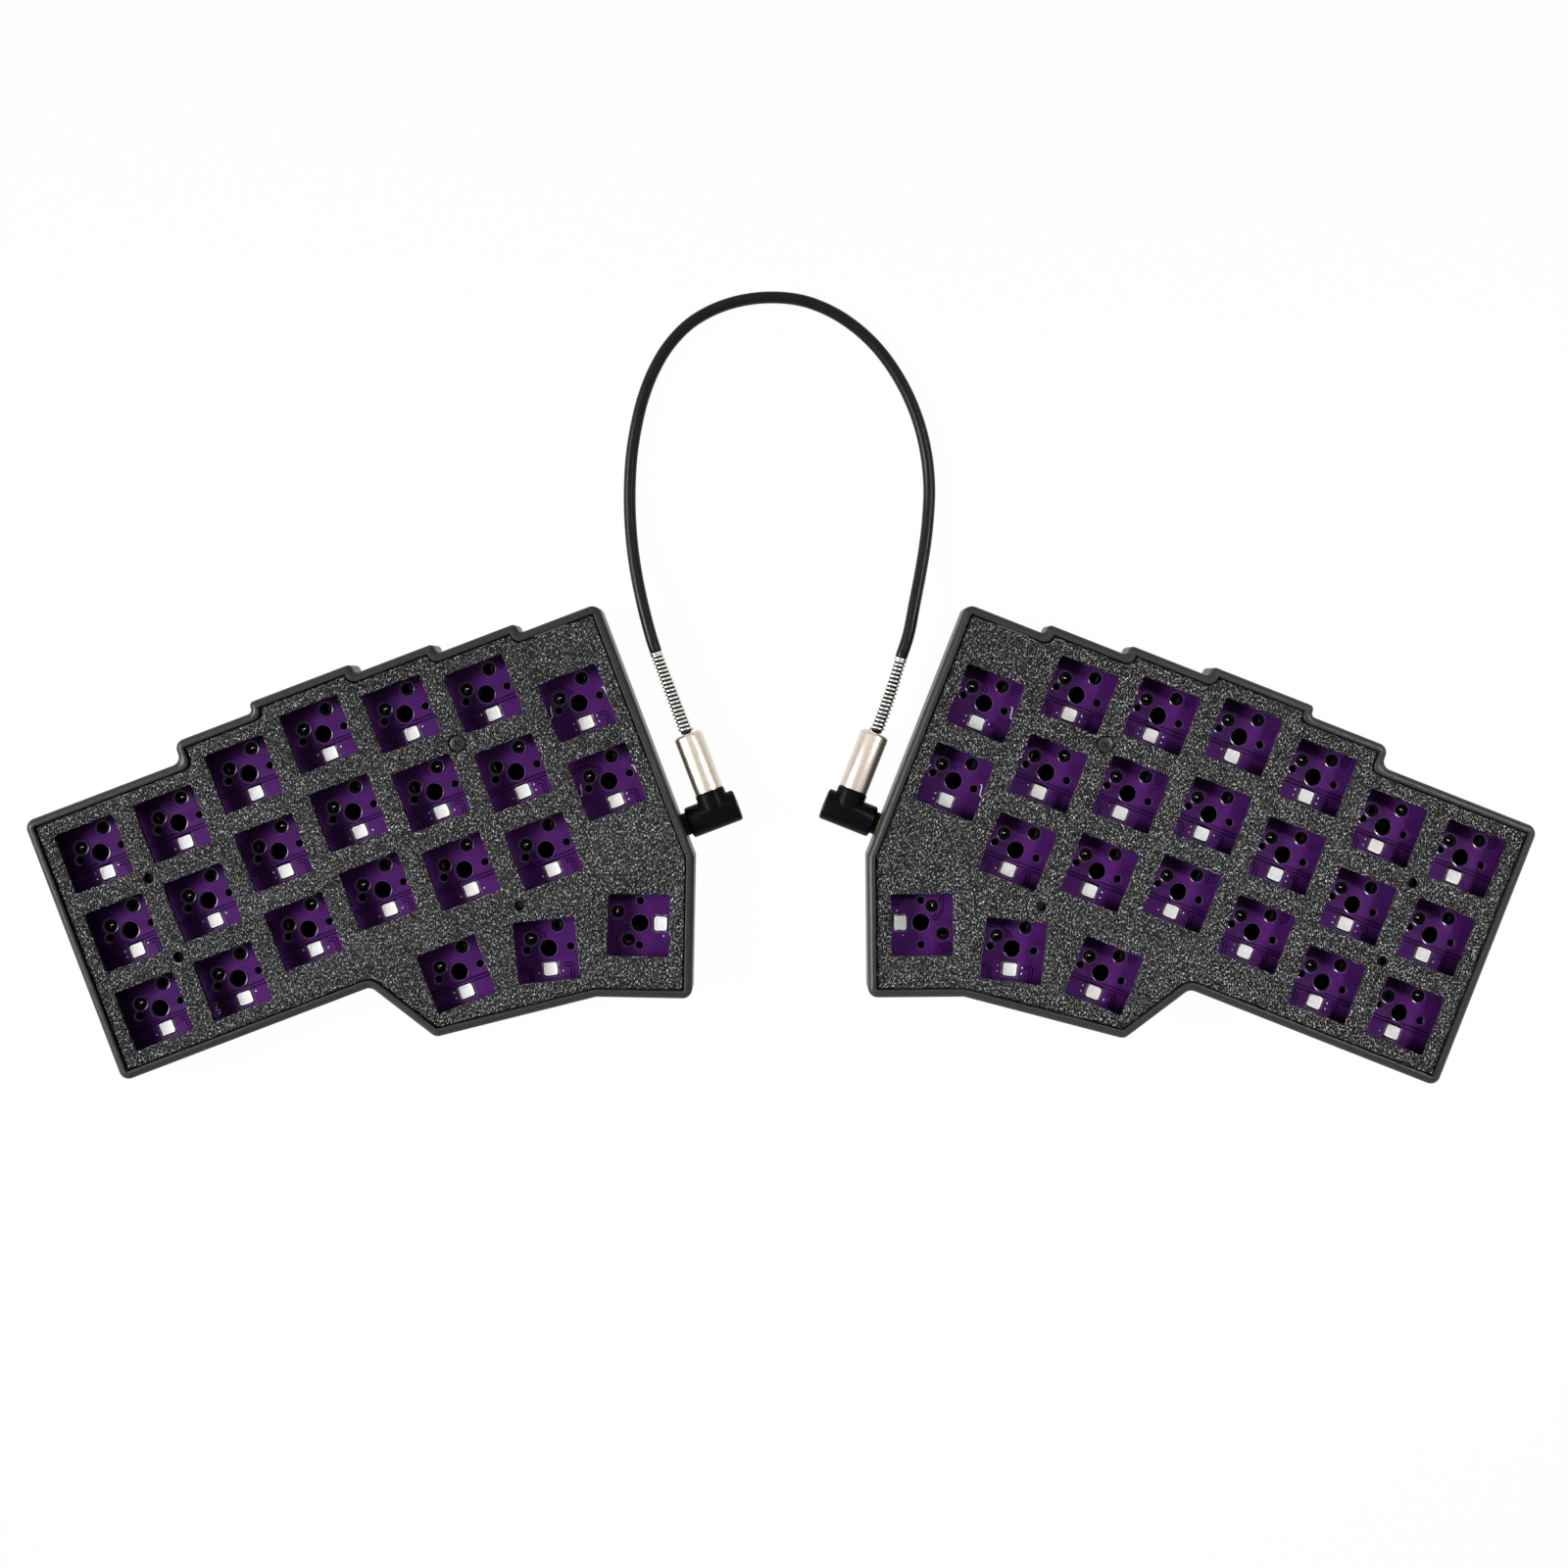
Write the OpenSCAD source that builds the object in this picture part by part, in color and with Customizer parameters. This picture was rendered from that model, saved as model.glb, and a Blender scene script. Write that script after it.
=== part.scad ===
// Split keyboard with bare switch sockets: two splayed halves joined by a short cord with right-angle plugs.
// Each half is drawn in its own key frame: origin at the outermost upper key, +X towards the other half,
// +Y away from the typist, and is then turned and set down on the desk.

/* [Keys] */
// Distance between the middles of neighbouring keys
key_pitch = 19.05; // [18.8:0.05:20]
// Side of a switch window in the plate
window_side = 14; // [13.8:0.05:14.4]
// How far each finger column is raised above the outermost one
column_rise = [0, 0, 4.76, 7.14, 4.76, 2.38]; // [0:0.01:9]
// How far the short inner column is lowered
inner_drop = 7.14; // [4:0.01:9]
// Middles of the thumb keys across, counted in key pitches
thumb_column = [3.51, 4.61, 5.74]; // [3.4:0.01:5.8]
// Middles of the thumb keys below the lowest finger row, in key pitches
thumb_drop = [0.87, 0.99, 1.1]; // [0.8:0.01:1.2]
// Turn of each thumb key, in degrees
thumb_turn = [0, -15, -22]; // [-30:1:0]
// Length of the innermost thumb key, in key pitches
long_key = 1.5; // [1.25:0.05:1.6]

/* [Case] */
// Turn of the left half on the desk, in degrees
splay_left = 20.9; // [10:0.1:30]
// Turn of the right half on the desk, in degrees
splay_right = 21.5; // [10:0.1:30]
// Least distance between the two halves
half_gap = 39; // [36:0.5:60]
// How far the right half's far corner lies beyond the left one's
right_shift = 0; // [-5:0.5:5]
// From the finger keys' cells to the outside of the case
case_margin = 2.85; // [2.6:0.05:4]
// From the thumb keys' cells to the near side of the case
thumb_margin = 2.1; // [2:0.05:4]
// Radius of the case's corners
corner_round = 2.2; // [1:0.1:4]
// Radius of the pocket's and the plate's corners
pocket_round = 1; // [0.5:0.1:2]
// Thickness of the case's wall
rim_wall = 1.85; // [1.5:0.05:2.1]
// Height of the rim above the plate
rim_rise = 0.9; // [0.3:0.1:2]
// Thickness of the case's floor
floor_t = 2; // [1.8:0.1:4]
// Height of a rubber foot
foot_h = 1.5; // [1:0.1:4]
// Diameter of a rubber foot
foot_d = 8; // [5:0.5:10]
// From a foot's edge to the outside of the case
foot_inset = 1.5; // [1:0.5:4]

/* [Plate and board] */
// Gap between the plate and the case
plate_gap = 0.25; // [0.1:0.05:0.4]
// Thickness of the plate
plate_t = 1.5; // [1.2:0.1:1.6]
// From the top of the board to the top of the plate
plate_lift = 5; // [5:0.1:7]
// Gap between the board and the case
board_gap = 0.5; // [0.3:0.05:0.8]
// Thickness of the board
board_t = 1.6; // [1.2:0.1:2]
// Space between the floor and the board
board_room = 2.5; // [2.3:0.1:5]

/* [Screws] */
// Diameter of the screws
screw_d = 2; // [1.6:0.1:2.4]
// Play between a screw and the holes that it passes or enters
screw_play = 0.05; // [0.02:0.01:0.2]
// Diameter of a screw's head
head_d = 3.6; // [3.2:0.1:4]
// Height of a screw's head
head_h = 0.8; // [0.6:0.05:1]
// Play around a screw's head in its recess
head_play = 0.3; // [0.1:0.05:0.4]
// Depth of the recess under the floor for a screw's head
floor_recess = 1.2; // [1:0.1:1.5]
// Diameter of the case's bosses under the board
boss_d = 4.8; // [4.4:0.1:5.2]
// Diameter of a standoff between the board and the plate
standoff_d = 4; // [3.4:0.1:4.4]

/* [Switch footprint] */
// Diameter of the hole for a switch's middle post
post_hole_d = 4; // [3.9:0.05:4.2]
// Diameter of the holes for a switch's side pegs
peg_hole_d = 1.75; // [1.7:0.05:1.9]
// Distance of the side pegs from the middle
peg_reach = 5.08; // [5:0.01:5.2]
// Diameter of the board's holes for the socket barrels
barrel_hole_d = 3; // [2.9:0.05:3.2]
// Play between a socket barrel and its hole
barrel_play = 0.05; // [0.02:0.01:0.1]
// Grid on which a switch's two pins stand
pin_grid = 1.27; // [1.2:0.01:1.35]
// Diameter of the hole for a switch's pin
pin_hole_d = 1.6; // [1.4:0.1:1.8]
// Height of a socket under the board
socket_h = 1.85; // [1.6:0.05:2]
// Size of each of a socket's two lobes
socket_lobe = [6, 4.6]; // [4:0.1:6]
// Length of a barrel inside the board
barrel_l = 1.2; // [0.8:0.1:1.2]
// Thickness of a socket's contact strips
contact_t = 0.25; // [0.2:0.05:0.4]
// Width of a socket's contact strips
contact_w = 1.7; // [1.2:0.1:2]
// Size of a lamp, across and along
lamp_size = [3.2, 2.9]; // [2.6:0.1:3.4]
// Distance of a lamp from the middle of its key
lamp_reach = 4.78; // [4.7:0.01:5]
// Gap between a lamp and its cut-out in the board
lamp_gap = 0.35; // [0.1:0.05:0.5]
// Height of a lamp above the board
lamp_proud = 0.1; // [0:0.05:0.3]
// Size of a diode under the board
diode_size = [2.7, 1.6, 1.1]; // [0.8:0.1:3]

/* [Port and buttons] */
// Width of the port's shell
port_w = 8.94; // [8.8:0.02:9.2]
// Height of the port's shell
port_h = 3.26; // [3.1:0.02:3.4]
// Length of the port's shell
port_l = 7.3; // [6.5:0.1:8]
// Thickness of the port's shell
port_wall = 0.3; // [0.2:0.05:0.4]
// Gap between the port and its slot in the case
port_gap = 0.3; // [0.1:0.05:0.4]
// How far the port's mouth lies inside the case's face
port_recess = 0.6; // [0:0.1:1]
// Size of a push switch under the board
push_size = [4.2, 3.2, 1.6]; // [1.4:0.1:5]
// Diameter of a push switch's plunger
plunger_d = 1.8; // [1.4:0.1:2]
// Play around the plunger
plunger_play = 0.04; // [0.02:0.01:0.08]
// How far the plunger stands out of its switch
plunger_out = 0.65; // [0.5:0.05:0.8]
// Travel of the plunger
plunger_travel = 0.25; // [0.2:0.05:0.4]
// Diameter of the floor's holes for pressing the plungers
access_d = 2.6; // [2.4:0.1:3.5]

/* [Jack and plug] */
// Size of the jack's body: along the pin, across, and high
jack_size = [13.2, 6, 5]; // [4:0.1:14]
// Distance of the jack below the lowest finger row
jack_drop = 3.65; // [3.4:0.05:3.9]
// Diameter of the jack's nozzle
nozzle_d = 5; // [4.8:0.1:5.4]
// How far the nozzle's face lies inside the case's face
nozzle_recess = 1; // [0.8:0.1:1.2]
// Gap between the nozzle and its hole in the case
nozzle_gap = 0.3; // [0.1:0.05:0.5]
// Gap between the jack and the case or the board
jack_gap = 0.3; // [0.2:0.05:0.5]
// Diameter of the plug's pin
pin_d = 3.5; // [3.3:0.05:3.6]
// Play between the pin and the jack
pin_play = 0.03; // [0.02:0.01:0.08]
// Length of the pin
pin_l = 14; // [13:0.1:15]
// Width of the pin's three black bands
band_w = 0.8; // [0.5:0.1:1]
// Diameter of the pin's shoulder
shoulder_d = 4.6; // [4.2:0.1:4.8]
// Thickness of the pin's shoulder
shoulder_t = 0.9; // [0.6:0.05:0.9]
// How far the left plug stands off the case
left_seat = 0.15; // [0.15:0.05:1]
// How far the right plug stands off the case
right_seat = 0.15; // [0.15:0.05:1]
// Diameter of the plug's neck
neck_d = 5.2; // [4.8:0.1:6]
// Length of the plug's neck
neck_l = 1.1; // [0.8:0.1:2]
// Diameter of the plug's elbow along the pin
elbow_d = 7.2; // [6.6:0.1:8]
// Length of the plug's elbow along the pin
elbow_l = 12; // [10:0.1:14]
// Chamfer at the elbow's ends
elbow_chamfer = 0.4; // [0.2:0.1:0.8]
// From the neck's face to the middle of the sleeve
sleeve_offset = 8; // [6:0.1:9]
// Diameter of the elbow's collar under the sleeve
collar_d = 6.9; // [6.4:0.1:7]
// Height of the collar above the pin's axis
collar_top = 5.25; // [5:0.05:7]
// Diameter of the metal sleeve
sleeve_d = 6.6; // [6:0.1:6.8]
// Length of the metal sleeve
sleeve_l = 14; // [11:0.1:18]
// Wall of the metal sleeve
sleeve_wall = 0.95; // [0.8:0.05:1.2]
// Chamfer around the sleeve's end
sleeve_chamfer = 0.6; // [0.3:0.1:0.8]
// Length of the elbow's spigot inside the sleeve
spigot_l = 7; // [4:0.5:9]

/* [Spring and cord] */
// Thickness of the strain relief's wire
wire_d = 0.5; // [0.4:0.02:0.54]
// Rise of the strain relief in one turn
coil_pitch = 0.95; // [0.95:0.01:1.1]
// Outer diameter of the strain relief at the sleeve
coil_d = 3.7; // [3.3:0.05:3.8]
// Outer diameter of the strain relief at its free end
coil_end_d = 3.3; // [2.9:0.05:3.4]
// Turns of the left strain relief
left_turns = 19; // [14:1:22]
// Turns of the right strain relief
right_turns = 17; // [14:1:22]
// Sideways bend of the left strain relief at its free end
left_bend = 0; // [0:0.05:1.5]
// Sideways bend of the right strain relief at its free end
right_bend = 0.9; // [0:0.05:1.5]
// Diameter of the cord
cord_d = 2.8; // [2.4:0.1:3.2]
// Diameter of the cord's core inside the strain relief
core_d = 1.6; // [1.2:0.1:1.7]

/* [Hidden] */
$fn = 48;
row_count = 3;
column_count = len(column_rise);
arc_steps = 6;
coil_rings = 8;
coil_sides = 6;
cord_sides = 8;
skin = 0.01;

// Heights of the stack, from the desk up
floor_z = foot_h;
floor_top = floor_z + floor_t;
board_z = floor_top + board_room;
board_top = board_z + board_t;
plate_top = board_top + plate_lift;
plate_z = plate_top - plate_t;
rim_top = plate_top + rim_rise;

// Keys: [x, y, turn of the window, turn of the footprint]
lowest_row = -(row_count - 1) * key_pitch;
finger_keys = [
    for (c = [0:column_count - 1], r = [0:row_count - 1])
        [c * key_pitch, column_rise[c] - r * key_pitch, 0, 0]
];
inner_keys = [
    for (r = [0:row_count - 2])
        [column_count * key_pitch, -inner_drop - r * key_pitch, 0, 0]
];
thumb_keys = [
    for (i = [0:2])
        [thumb_column[i] * key_pitch, lowest_row - thumb_drop[i] * key_pitch,
         thumb_turn[i], thumb_turn[i] + (i == 2 ? 90 : 0)]
];
keys = concat(finger_keys, inner_keys, thumb_keys);

// Outline of the case, clockwise from its outer far corner
function turned(p, a) = [p.x * cos(a) - p.y * sin(a), p.x * sin(a) + p.y * cos(a)];
function at_thumb(i, p) = [thumb_keys[i].x, thumb_keys[i].y] + turned(p, thumb_turn[i]);
half_key = key_pitch / 2;
outer_edge = -half_key - case_margin;
inner_edge = (column_count + 0.5) * key_pitch + case_margin;
near_edge = lowest_row - half_key - case_margin;
function far_edge(c) = (c < column_count ? column_rise[c] : 0) + half_key + case_margin;
function step_x(c) = (c - 0.5) * key_pitch + (far_edge(c) > far_edge(c - 1) ? -case_margin : case_margin);
far_steps = [
    for (c = [1:column_count])
        if (far_edge(c) != far_edge(c - 1))
            each [[step_x(c), far_edge(c - 1)], [step_x(c), far_edge(c)]]
];
thumb_half = long_key * half_key + thumb_margin;
thumb_corner = at_thumb(2, [half_key + case_margin, -thumb_half]);
thumb_side = at_thumb(2, [half_key + case_margin, thumb_half]) - thumb_corner;
thumb_base = at_thumb(2, [0, -thumb_half]) - thumb_corner;
kink_x = at_thumb(1, [half_key, -half_key]).x;
function on_line(p, d, x) = p + d * ((x - p.x) / d.x);
case_points = concat(
    [[outer_edge, far_edge(0)]],
    far_steps,
    [[inner_edge, far_edge(column_count)],
     on_line(thumb_corner, thumb_side, inner_edge),
     thumb_corner,
     on_line(thumb_corner, thumb_base, kink_x),
     [thumb_keys[0].x - half_key, thumb_keys[0].y - half_key - thumb_margin],
     [(column_count / 2 - 0.5) * key_pitch, near_edge],
     [outer_edge, near_edge]]
);

// A closed outline moved inwards, and one with round corners
function unit(v) = v / norm(v);
function ring_at(pts, i) = pts[(i + len(pts)) % len(pts)];
function heading(pts, i) = unit(ring_at(pts, i + 1) - ring_at(pts, i));
function right_of(d) = [d.y, -d.x];
function inset(pts, d) = [
    for (i = [0:len(pts) - 1])
        let (a = right_of(heading(pts, i - 1)), b = right_of(heading(pts, i)))
            pts[i] + (a + b) * (d / (1 + a * b))
];
function corner_arc(pts, i, r) =
    let (
        from = heading(pts, i - 1),
        to = heading(pts, i),
        bend = acos(max(-1, min(1, from * to))),
        side = from.x * to.y - from.y * to.x > 0 ? 1 : -1,
        shortest = min(norm(pts[i] - ring_at(pts, i - 1)), norm(pts[i] - ring_at(pts, i + 1))),
        reach = min(r * tan(bend / 2), 0.45 * shortest),
        inward = -side * right_of(from),
        centre = pts[i] - from * reach + inward * (reach / tan(bend / 2))
    )
    [for (k = [0:arc_steps]) centre + turned(pts[i] - from * reach - centre, side * bend * k / arc_steps)];
function rounded(pts, r) = [for (i = [0:len(pts) - 1]) each corner_arc(pts, i, r)];

case_outline = rounded(case_points, corner_round);
pocket_outline = rounded(inset(case_points, rim_wall), pocket_round);
plate_outline = rounded(inset(case_points, rim_wall + plate_gap), pocket_round);
board_outline = rounded(inset(case_points, rim_wall + board_gap), pocket_round);
foot_points = inset(case_points, foot_inset + foot_d / 2);
last_point = len(case_points) - 1;
foot_corners = [0, last_point - 6, last_point - 4, last_point - 2, last_point];

// Places of the halves: the box around both is centred on the origin
left_turned = [for (p = case_outline) turned(p, splay_left)];
right_turned = [for (p = case_outline) turned([-p.x, p.y], -splay_right)];
function low(pts, k) = min([for (p = pts) p[k]]);
function high(pts, k) = max([for (p = pts) p[k]]);
all_w = high(left_turned, 0) - low(left_turned, 0) + half_gap + high(right_turned, 0) - low(right_turned, 0);
far_left = -high(left_turned, 1);
far_right = right_shift - high(right_turned, 1);
far_most = max(0, right_shift);
near_most = min(low(left_turned, 1) + far_left, low(right_turned, 1) + far_right);
mid_y = (far_most + near_most) / 2;
left_place = [-all_w / 2 - low(left_turned, 0), far_left - mid_y];
right_place = [all_w / 2 - high(right_turned, 0), far_right - mid_y];

module on_left() { translate(left_place) rotate(splay_left) children(); }
module on_right() { translate(right_place) rotate(-splay_right) mirror([1, 0, 0]) children(); }

// Screws stand between four keys, or between keys and thumb keys
screw_spots = [
    [0.5 * key_pitch, -0.5 * key_pitch],
    [0.5 * key_pitch, -1.5 * key_pitch],
    [4.5 * key_pitch, (column_rise[4] + column_rise[5]) / 2 - 0.5 * key_pitch],
    [4.5 * key_pitch, column_rise[5] - 2.5 * key_pitch]
];
capped_spot = screw_spots[2];
screw_hole_d = screw_d + 2 * screw_play;
head_hole_d = head_d + 2 * head_play;
plate_recess = head_h;
screw_ledge = floor_z + floor_recess;
screw_gap = 0.3;
screw_split = (board_top + plate_z) / 2;

module at_each(spots) { for (s = spots) translate([s.x, s.y, 0]) children(); }
module at_windows() { for (k = keys) translate([k.x, k.y, 0]) rotate(k[2]) children(); }
// Switch footprints face the same way in both halves, so in the mirrored half they are mirrored back
module at_footprints(side) {
    for (k = keys)
        translate([k.x, k.y, 0]) rotate(k[3]) mirror([side < 0 ? 1 : 0, 0, 0]) children();
}
module box(size, z) { translate([-size.x / 2, -size.y / 2, z]) cube([size.x, size.y, size.z]); }
module slab(outline, z, t) { translate([0, 0, z]) linear_extrude(t) polygon(outline); }

// Case: an open tray with bosses, and holes for the port, the jack, the buttons and the screws
jack_y = lowest_row - jack_drop;
jack_z = board_z + board_t / 2;
port_x = column_count * key_pitch;
port_face = far_edge(column_count) - port_recess;
button_y = far_edge(column_count) - rim_wall - board_gap - push_size.y;
button_gap = 0.3;
button_reach = (port_w + push_size.x) / 2 + button_gap;
button_spots = [[port_x - button_reach, button_y], [port_x + button_reach, button_y]];
hole_reach = 2 * rim_wall;

module port_bar(w, h, l, y) {
    r = h / 2;
    translate([port_x, y, board_top + port_h / 2]) rotate([90, 0, 0]) {
        translate([r - w / 2, -r, 0]) cube([w - h, h, l]);
        for (s = [-1, 1]) translate([s * (w / 2 - r), 0, 0]) cylinder(r = r, h = l);
    }
}

module case_shell() {
    color([0.13, 0.13, 0.14])
    difference() {
        union() {
            difference() {
                slab(case_outline, floor_z, rim_top - floor_z);
                slab(pocket_outline, floor_top, rim_top);
            }
            at_each(screw_spots) translate([0, 0, floor_top - skin])
                cylinder(d = boss_d, h = board_room + skin);
        }
        at_each(screw_spots) {
            translate([0, 0, floor_z - 1]) cylinder(d = screw_hole_d, h = board_z);
            translate([0, 0, floor_z - 1]) cylinder(d = head_hole_d, h = floor_recess + 1);
        }
        at_each(button_spots) translate([0, 0, floor_z - 1]) cylinder(d = access_d, h = floor_t + 2);
        translate([inner_edge - hole_reach, jack_y, jack_z]) rotate([0, 90, 0])
            cylinder(d = nozzle_d + 2 * nozzle_gap, h = 2 * hole_reach);
        port_bar(port_w + 2 * port_gap, port_h + 2 * port_gap, 2 * hole_reach,
                 far_edge(column_count) + hole_reach);
    }
}

module feet() {
    color([0.07, 0.07, 0.07])
    for (i = foot_corners) translate(foot_points[i]) cylinder(d = foot_d, h = foot_h);
}

// Plate: the textured cover with a square window for each switch
module switch_plate() {
    color([0.2, 0.2, 0.21])
    difference() {
        slab(plate_outline, plate_z, plate_t);
        at_windows() box([window_side, window_side, plate_t + 2], plate_z - 1);
        at_each(screw_spots) translate([0, 0, plate_z - 1]) cylinder(d = screw_hole_d, h = plate_t + 2);
        translate([capped_spot.x, capped_spot.y, plate_top - plate_recess])
            cylinder(d = head_hole_d, h = plate_recess + 1);
    }
}

// Board with the switch footprints, the lamp cut-outs, the screw holes and the jack's notch
barrel_spots = [[2 * pin_grid, 4 * pin_grid], [-3 * pin_grid, 2 * pin_grid]];
lamp_cut = [lamp_size.x + 2 * lamp_gap, lamp_size.y + 2 * lamp_gap, board_t + 2];
jack_face = inner_edge - rim_wall - jack_gap;

module circuit_board(side) {
    color([0.3, 0.12, 0.43])
    difference() {
        slab(board_outline, board_z, board_t);
        at_footprints(side) translate([0, 0, board_z - 1]) {
            cylinder(d = post_hole_d, h = board_t + 2);
            for (s = [-1, 1]) translate([s * peg_reach, 0, 0]) cylinder(d = peg_hole_d, h = board_t + 2);
            at_each(barrel_spots) cylinder(d = barrel_hole_d, h = board_t + 2);
            translate([0, -lamp_reach, 0]) box(lamp_cut, 0);
        }
        at_each(screw_spots) translate([0, 0, board_z - 1]) cylinder(d = screw_hole_d, h = board_t + 2);
        translate([jack_face - jack_size.x - jack_gap, jack_y - jack_size.y / 2 - jack_gap, board_z - 1])
            cube([2 * jack_size.x, jack_size.y + 2 * jack_gap, board_t + 2]);
    }
}

// Hot-swap sockets under the board: two lobes each, with a barrel that stands in the board
socket_z = board_z - socket_h;
barrel_r = barrel_hole_d / 2 - barrel_play;
strip_l = socket_lobe.x / 2 + 1.2;

module contact_strip(grow) {
    translate([barrel_spots[0].x + pin_hole_d / 4, barrel_spots[0].y - contact_w / 2, board_z - contact_t])
        cube([strip_l, contact_w, contact_t + grow]);
    translate([barrel_spots[1].x - pin_hole_d / 4 - strip_l, barrel_spots[1].y - contact_w / 2,
               board_z - contact_t])
        cube([strip_l, contact_w, contact_t + grow]);
}

module sockets(side) {
    color([0.06, 0.06, 0.06])
    at_footprints(side) difference() {
        union() {
            at_each(barrel_spots) {
                box([socket_lobe.x, socket_lobe.y, socket_h], socket_z);
                translate([0, 0, socket_z]) cylinder(r = barrel_r, h = socket_h + barrel_l);
            }
        }
        at_each(barrel_spots) translate([0, 0, socket_z - 1])
            cylinder(d = pin_hole_d, h = socket_h + board_t + 2);
        contact_strip(skin);
    }
}

module socket_contacts(side) {
    color([0.8, 0.74, 0.6])
    at_footprints(side) contact_strip(0);
}

// Lamps in the board's cut-outs, carried by legs under the board
lamp_leg = [lamp_size.x + 2 * lamp_gap + 1.5, 0.8, 0.2];
lamp_leg_reach = 0.9;

module lamps(side) {
    color([0.93, 0.91, 0.85])
    at_footprints(side) translate([0, -lamp_reach, 0]) {
        box([lamp_size.x, lamp_size.y, board_t + lamp_leg.z + lamp_proud], board_z - lamp_leg.z);
        for (s = [-1, 1]) translate([0, s * lamp_leg_reach, 0]) box(lamp_leg, board_z - lamp_leg.z);
    }
}

// Small parts soldered under the board
diode_spot = [-5.6, -4.6];
chip_size = [7, 7, 0.9];
chip_gap = 0.4;
chip_spot = [jack_face - jack_size.x - chip_gap - chip_size.x / 2, jack_y];
memory_size = [4.9, 3.9, 1.2];
memory_spot = [port_x, button_y];
crystal_size = [3.2, 2.5, 0.8];
crystal_spot = [chip_spot.x + 2.4, chip_spot.y + chip_size.y];
regulator_size = [2.9, 1.6, 1.1];
regulator_spot = [inner_edge - rim_wall - board_gap - regulator_size.x,
                  inner_keys[row_count - 2].y - key_pitch / 2 + regulator_size.y];
capacitor_size = [1.6, 0.8, 0.8];
capacitor_spots = [for (s = [-1, 1], t = [-1, 1]) chip_spot + [-s * 2 - 0.6, t * 4.6]];

module under_board(size) { translate([-size.x / 2, -size.y / 2, board_z - size.z]) cube(size); }

module diodes(side) {
    color([0.1, 0.1, 0.1])
    at_footprints(side) translate(diode_spot) under_board(diode_size);
}
module controller_chip() { color([0.1, 0.1, 0.11]) translate(chip_spot) under_board(chip_size); }
module memory_chip() { color([0.1, 0.1, 0.11]) translate(memory_spot) under_board(memory_size); }
module crystal() { color([0.75, 0.75, 0.75]) translate(crystal_spot) under_board(crystal_size); }
module regulator() { color([0.1, 0.1, 0.11]) translate(regulator_spot) under_board(regulator_size); }
module capacitors() { color([0.62, 0.5, 0.36]) at_each(capacitor_spots) under_board(capacitor_size); }

// Port at the far edge: a metal shell with a tongue on a block inside
port_back = 1.4;
tongue_size = [6.7, 4.8, 0.7];

module port_shell() {
    color([0.78, 0.78, 0.8])
    difference() {
        port_bar(port_w, port_h, port_l, port_face);
        port_bar(port_w - 2 * port_wall, port_h - 2 * port_wall, port_l + 2, port_face + 1);
    }
}
module port_tongue() {
    color([0.08, 0.08, 0.08])
    translate([port_x, port_face - port_l, board_top + port_h / 2]) {
        translate([0, port_back / 2, 0])
            box([port_w - port_h, port_back, port_h - 2 * port_wall], port_wall - port_h / 2);
        translate([0, port_back + tongue_size.y / 2 - skin, 0]) box(tongue_size, -tongue_size.z / 2);
    }
}

// Push switches for reset and boot, pressed from below through the floor
plunger_l = plunger_out + push_size.z / 2;
plunger_z = board_z - push_size.z - plunger_out;
push_bore = push_size.z / 2 + plunger_travel + 0.1;

module push_base(i) {
    color([0.6, 0.6, 0.62])
    translate(button_spots[i]) difference() {
        under_board(push_size);
        translate([0, 0, board_z - push_size.z - 1])
            cylinder(d = plunger_d + 2 * plunger_play, h = push_bore + 1);
    }
}
module push_plunger(i) {
    color([0.12, 0.12, 0.12])
    translate([button_spots[i].x, button_spots[i].y, plunger_z]) cylinder(d = plunger_d, h = plunger_l);
}

// Standoffs between the board and the plate, screws from below, and the one screw on top
module standoffs() {
    color([0.8, 0.66, 0.36])
    at_each(screw_spots) translate([0, 0, board_top]) difference() {
        cylinder(d = standoff_d, h = plate_z - board_top);
        translate([0, 0, -1]) cylinder(d = screw_hole_d, h = plate_z - board_top + 2);
    }
}
module cross_slot(z) {
    for (a = [0, 90]) rotate(a) box([head_d * 0.55, head_d * 0.14, head_h], z);
}
module base_screws() {
    color([0.25, 0.25, 0.26])
    at_each(screw_spots) difference() {
        union() {
            translate([0, 0, screw_ledge - head_h]) cylinder(d = head_d, h = head_h);
            translate([0, 0, screw_ledge - skin])
                cylinder(d = screw_d, h = screw_split - screw_gap - screw_ledge);
        }
        cross_slot(screw_ledge - 1.5 * head_h);
    }
}
module plate_screw() {
    color([0.06, 0.06, 0.06])
    translate(capped_spot) difference() {
        union() {
            translate([0, 0, plate_top - plate_recess]) cylinder(d = head_d, h = head_h);
            translate([0, 0, screw_split])
                cylinder(d = screw_d, h = plate_top - plate_recess - screw_split + skin);
        }
        cross_slot(plate_top - plate_recess + head_h / 2);
    }
}

// Jack in the board's notch, with four contact tabs on the board
tab_size = [1.4, 3, 0.3];
tab_in = pin_d / 2 - 0.1;
tab_steps = [2.4, 5.2, 8, 10.8];
tab_sides = [-1, 1, -1, 1];

module jack_tabs(grow) {
    for (i = [0:3])
        translate([jack_face - tab_steps[i], jack_y + tab_sides[i] * (tab_in + tab_size.y / 2), 0])
            box([tab_size.x + grow, tab_size.y + grow, tab_size.z + grow], board_top - grow / 2);
}
module jack_body() {
    nozzle_l = inner_edge - nozzle_recess - jack_face;
    color([0.08, 0.08, 0.08])
    difference() {
        union() {
            translate([jack_face - jack_size.x, jack_y - jack_size.y / 2, jack_z - jack_size.z / 2])
                cube(jack_size);
            translate([jack_face - skin, jack_y, jack_z]) rotate([0, 90, 0])
                cylinder(d = nozzle_d, h = nozzle_l + skin);
        }
        translate([jack_face - jack_size.x - 1, jack_y, jack_z]) rotate([0, 90, 0])
            cylinder(d = pin_d + 2 * pin_play, h = jack_size.x + nozzle_l + 2);
        jack_tabs(skin);
    }
}
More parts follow.
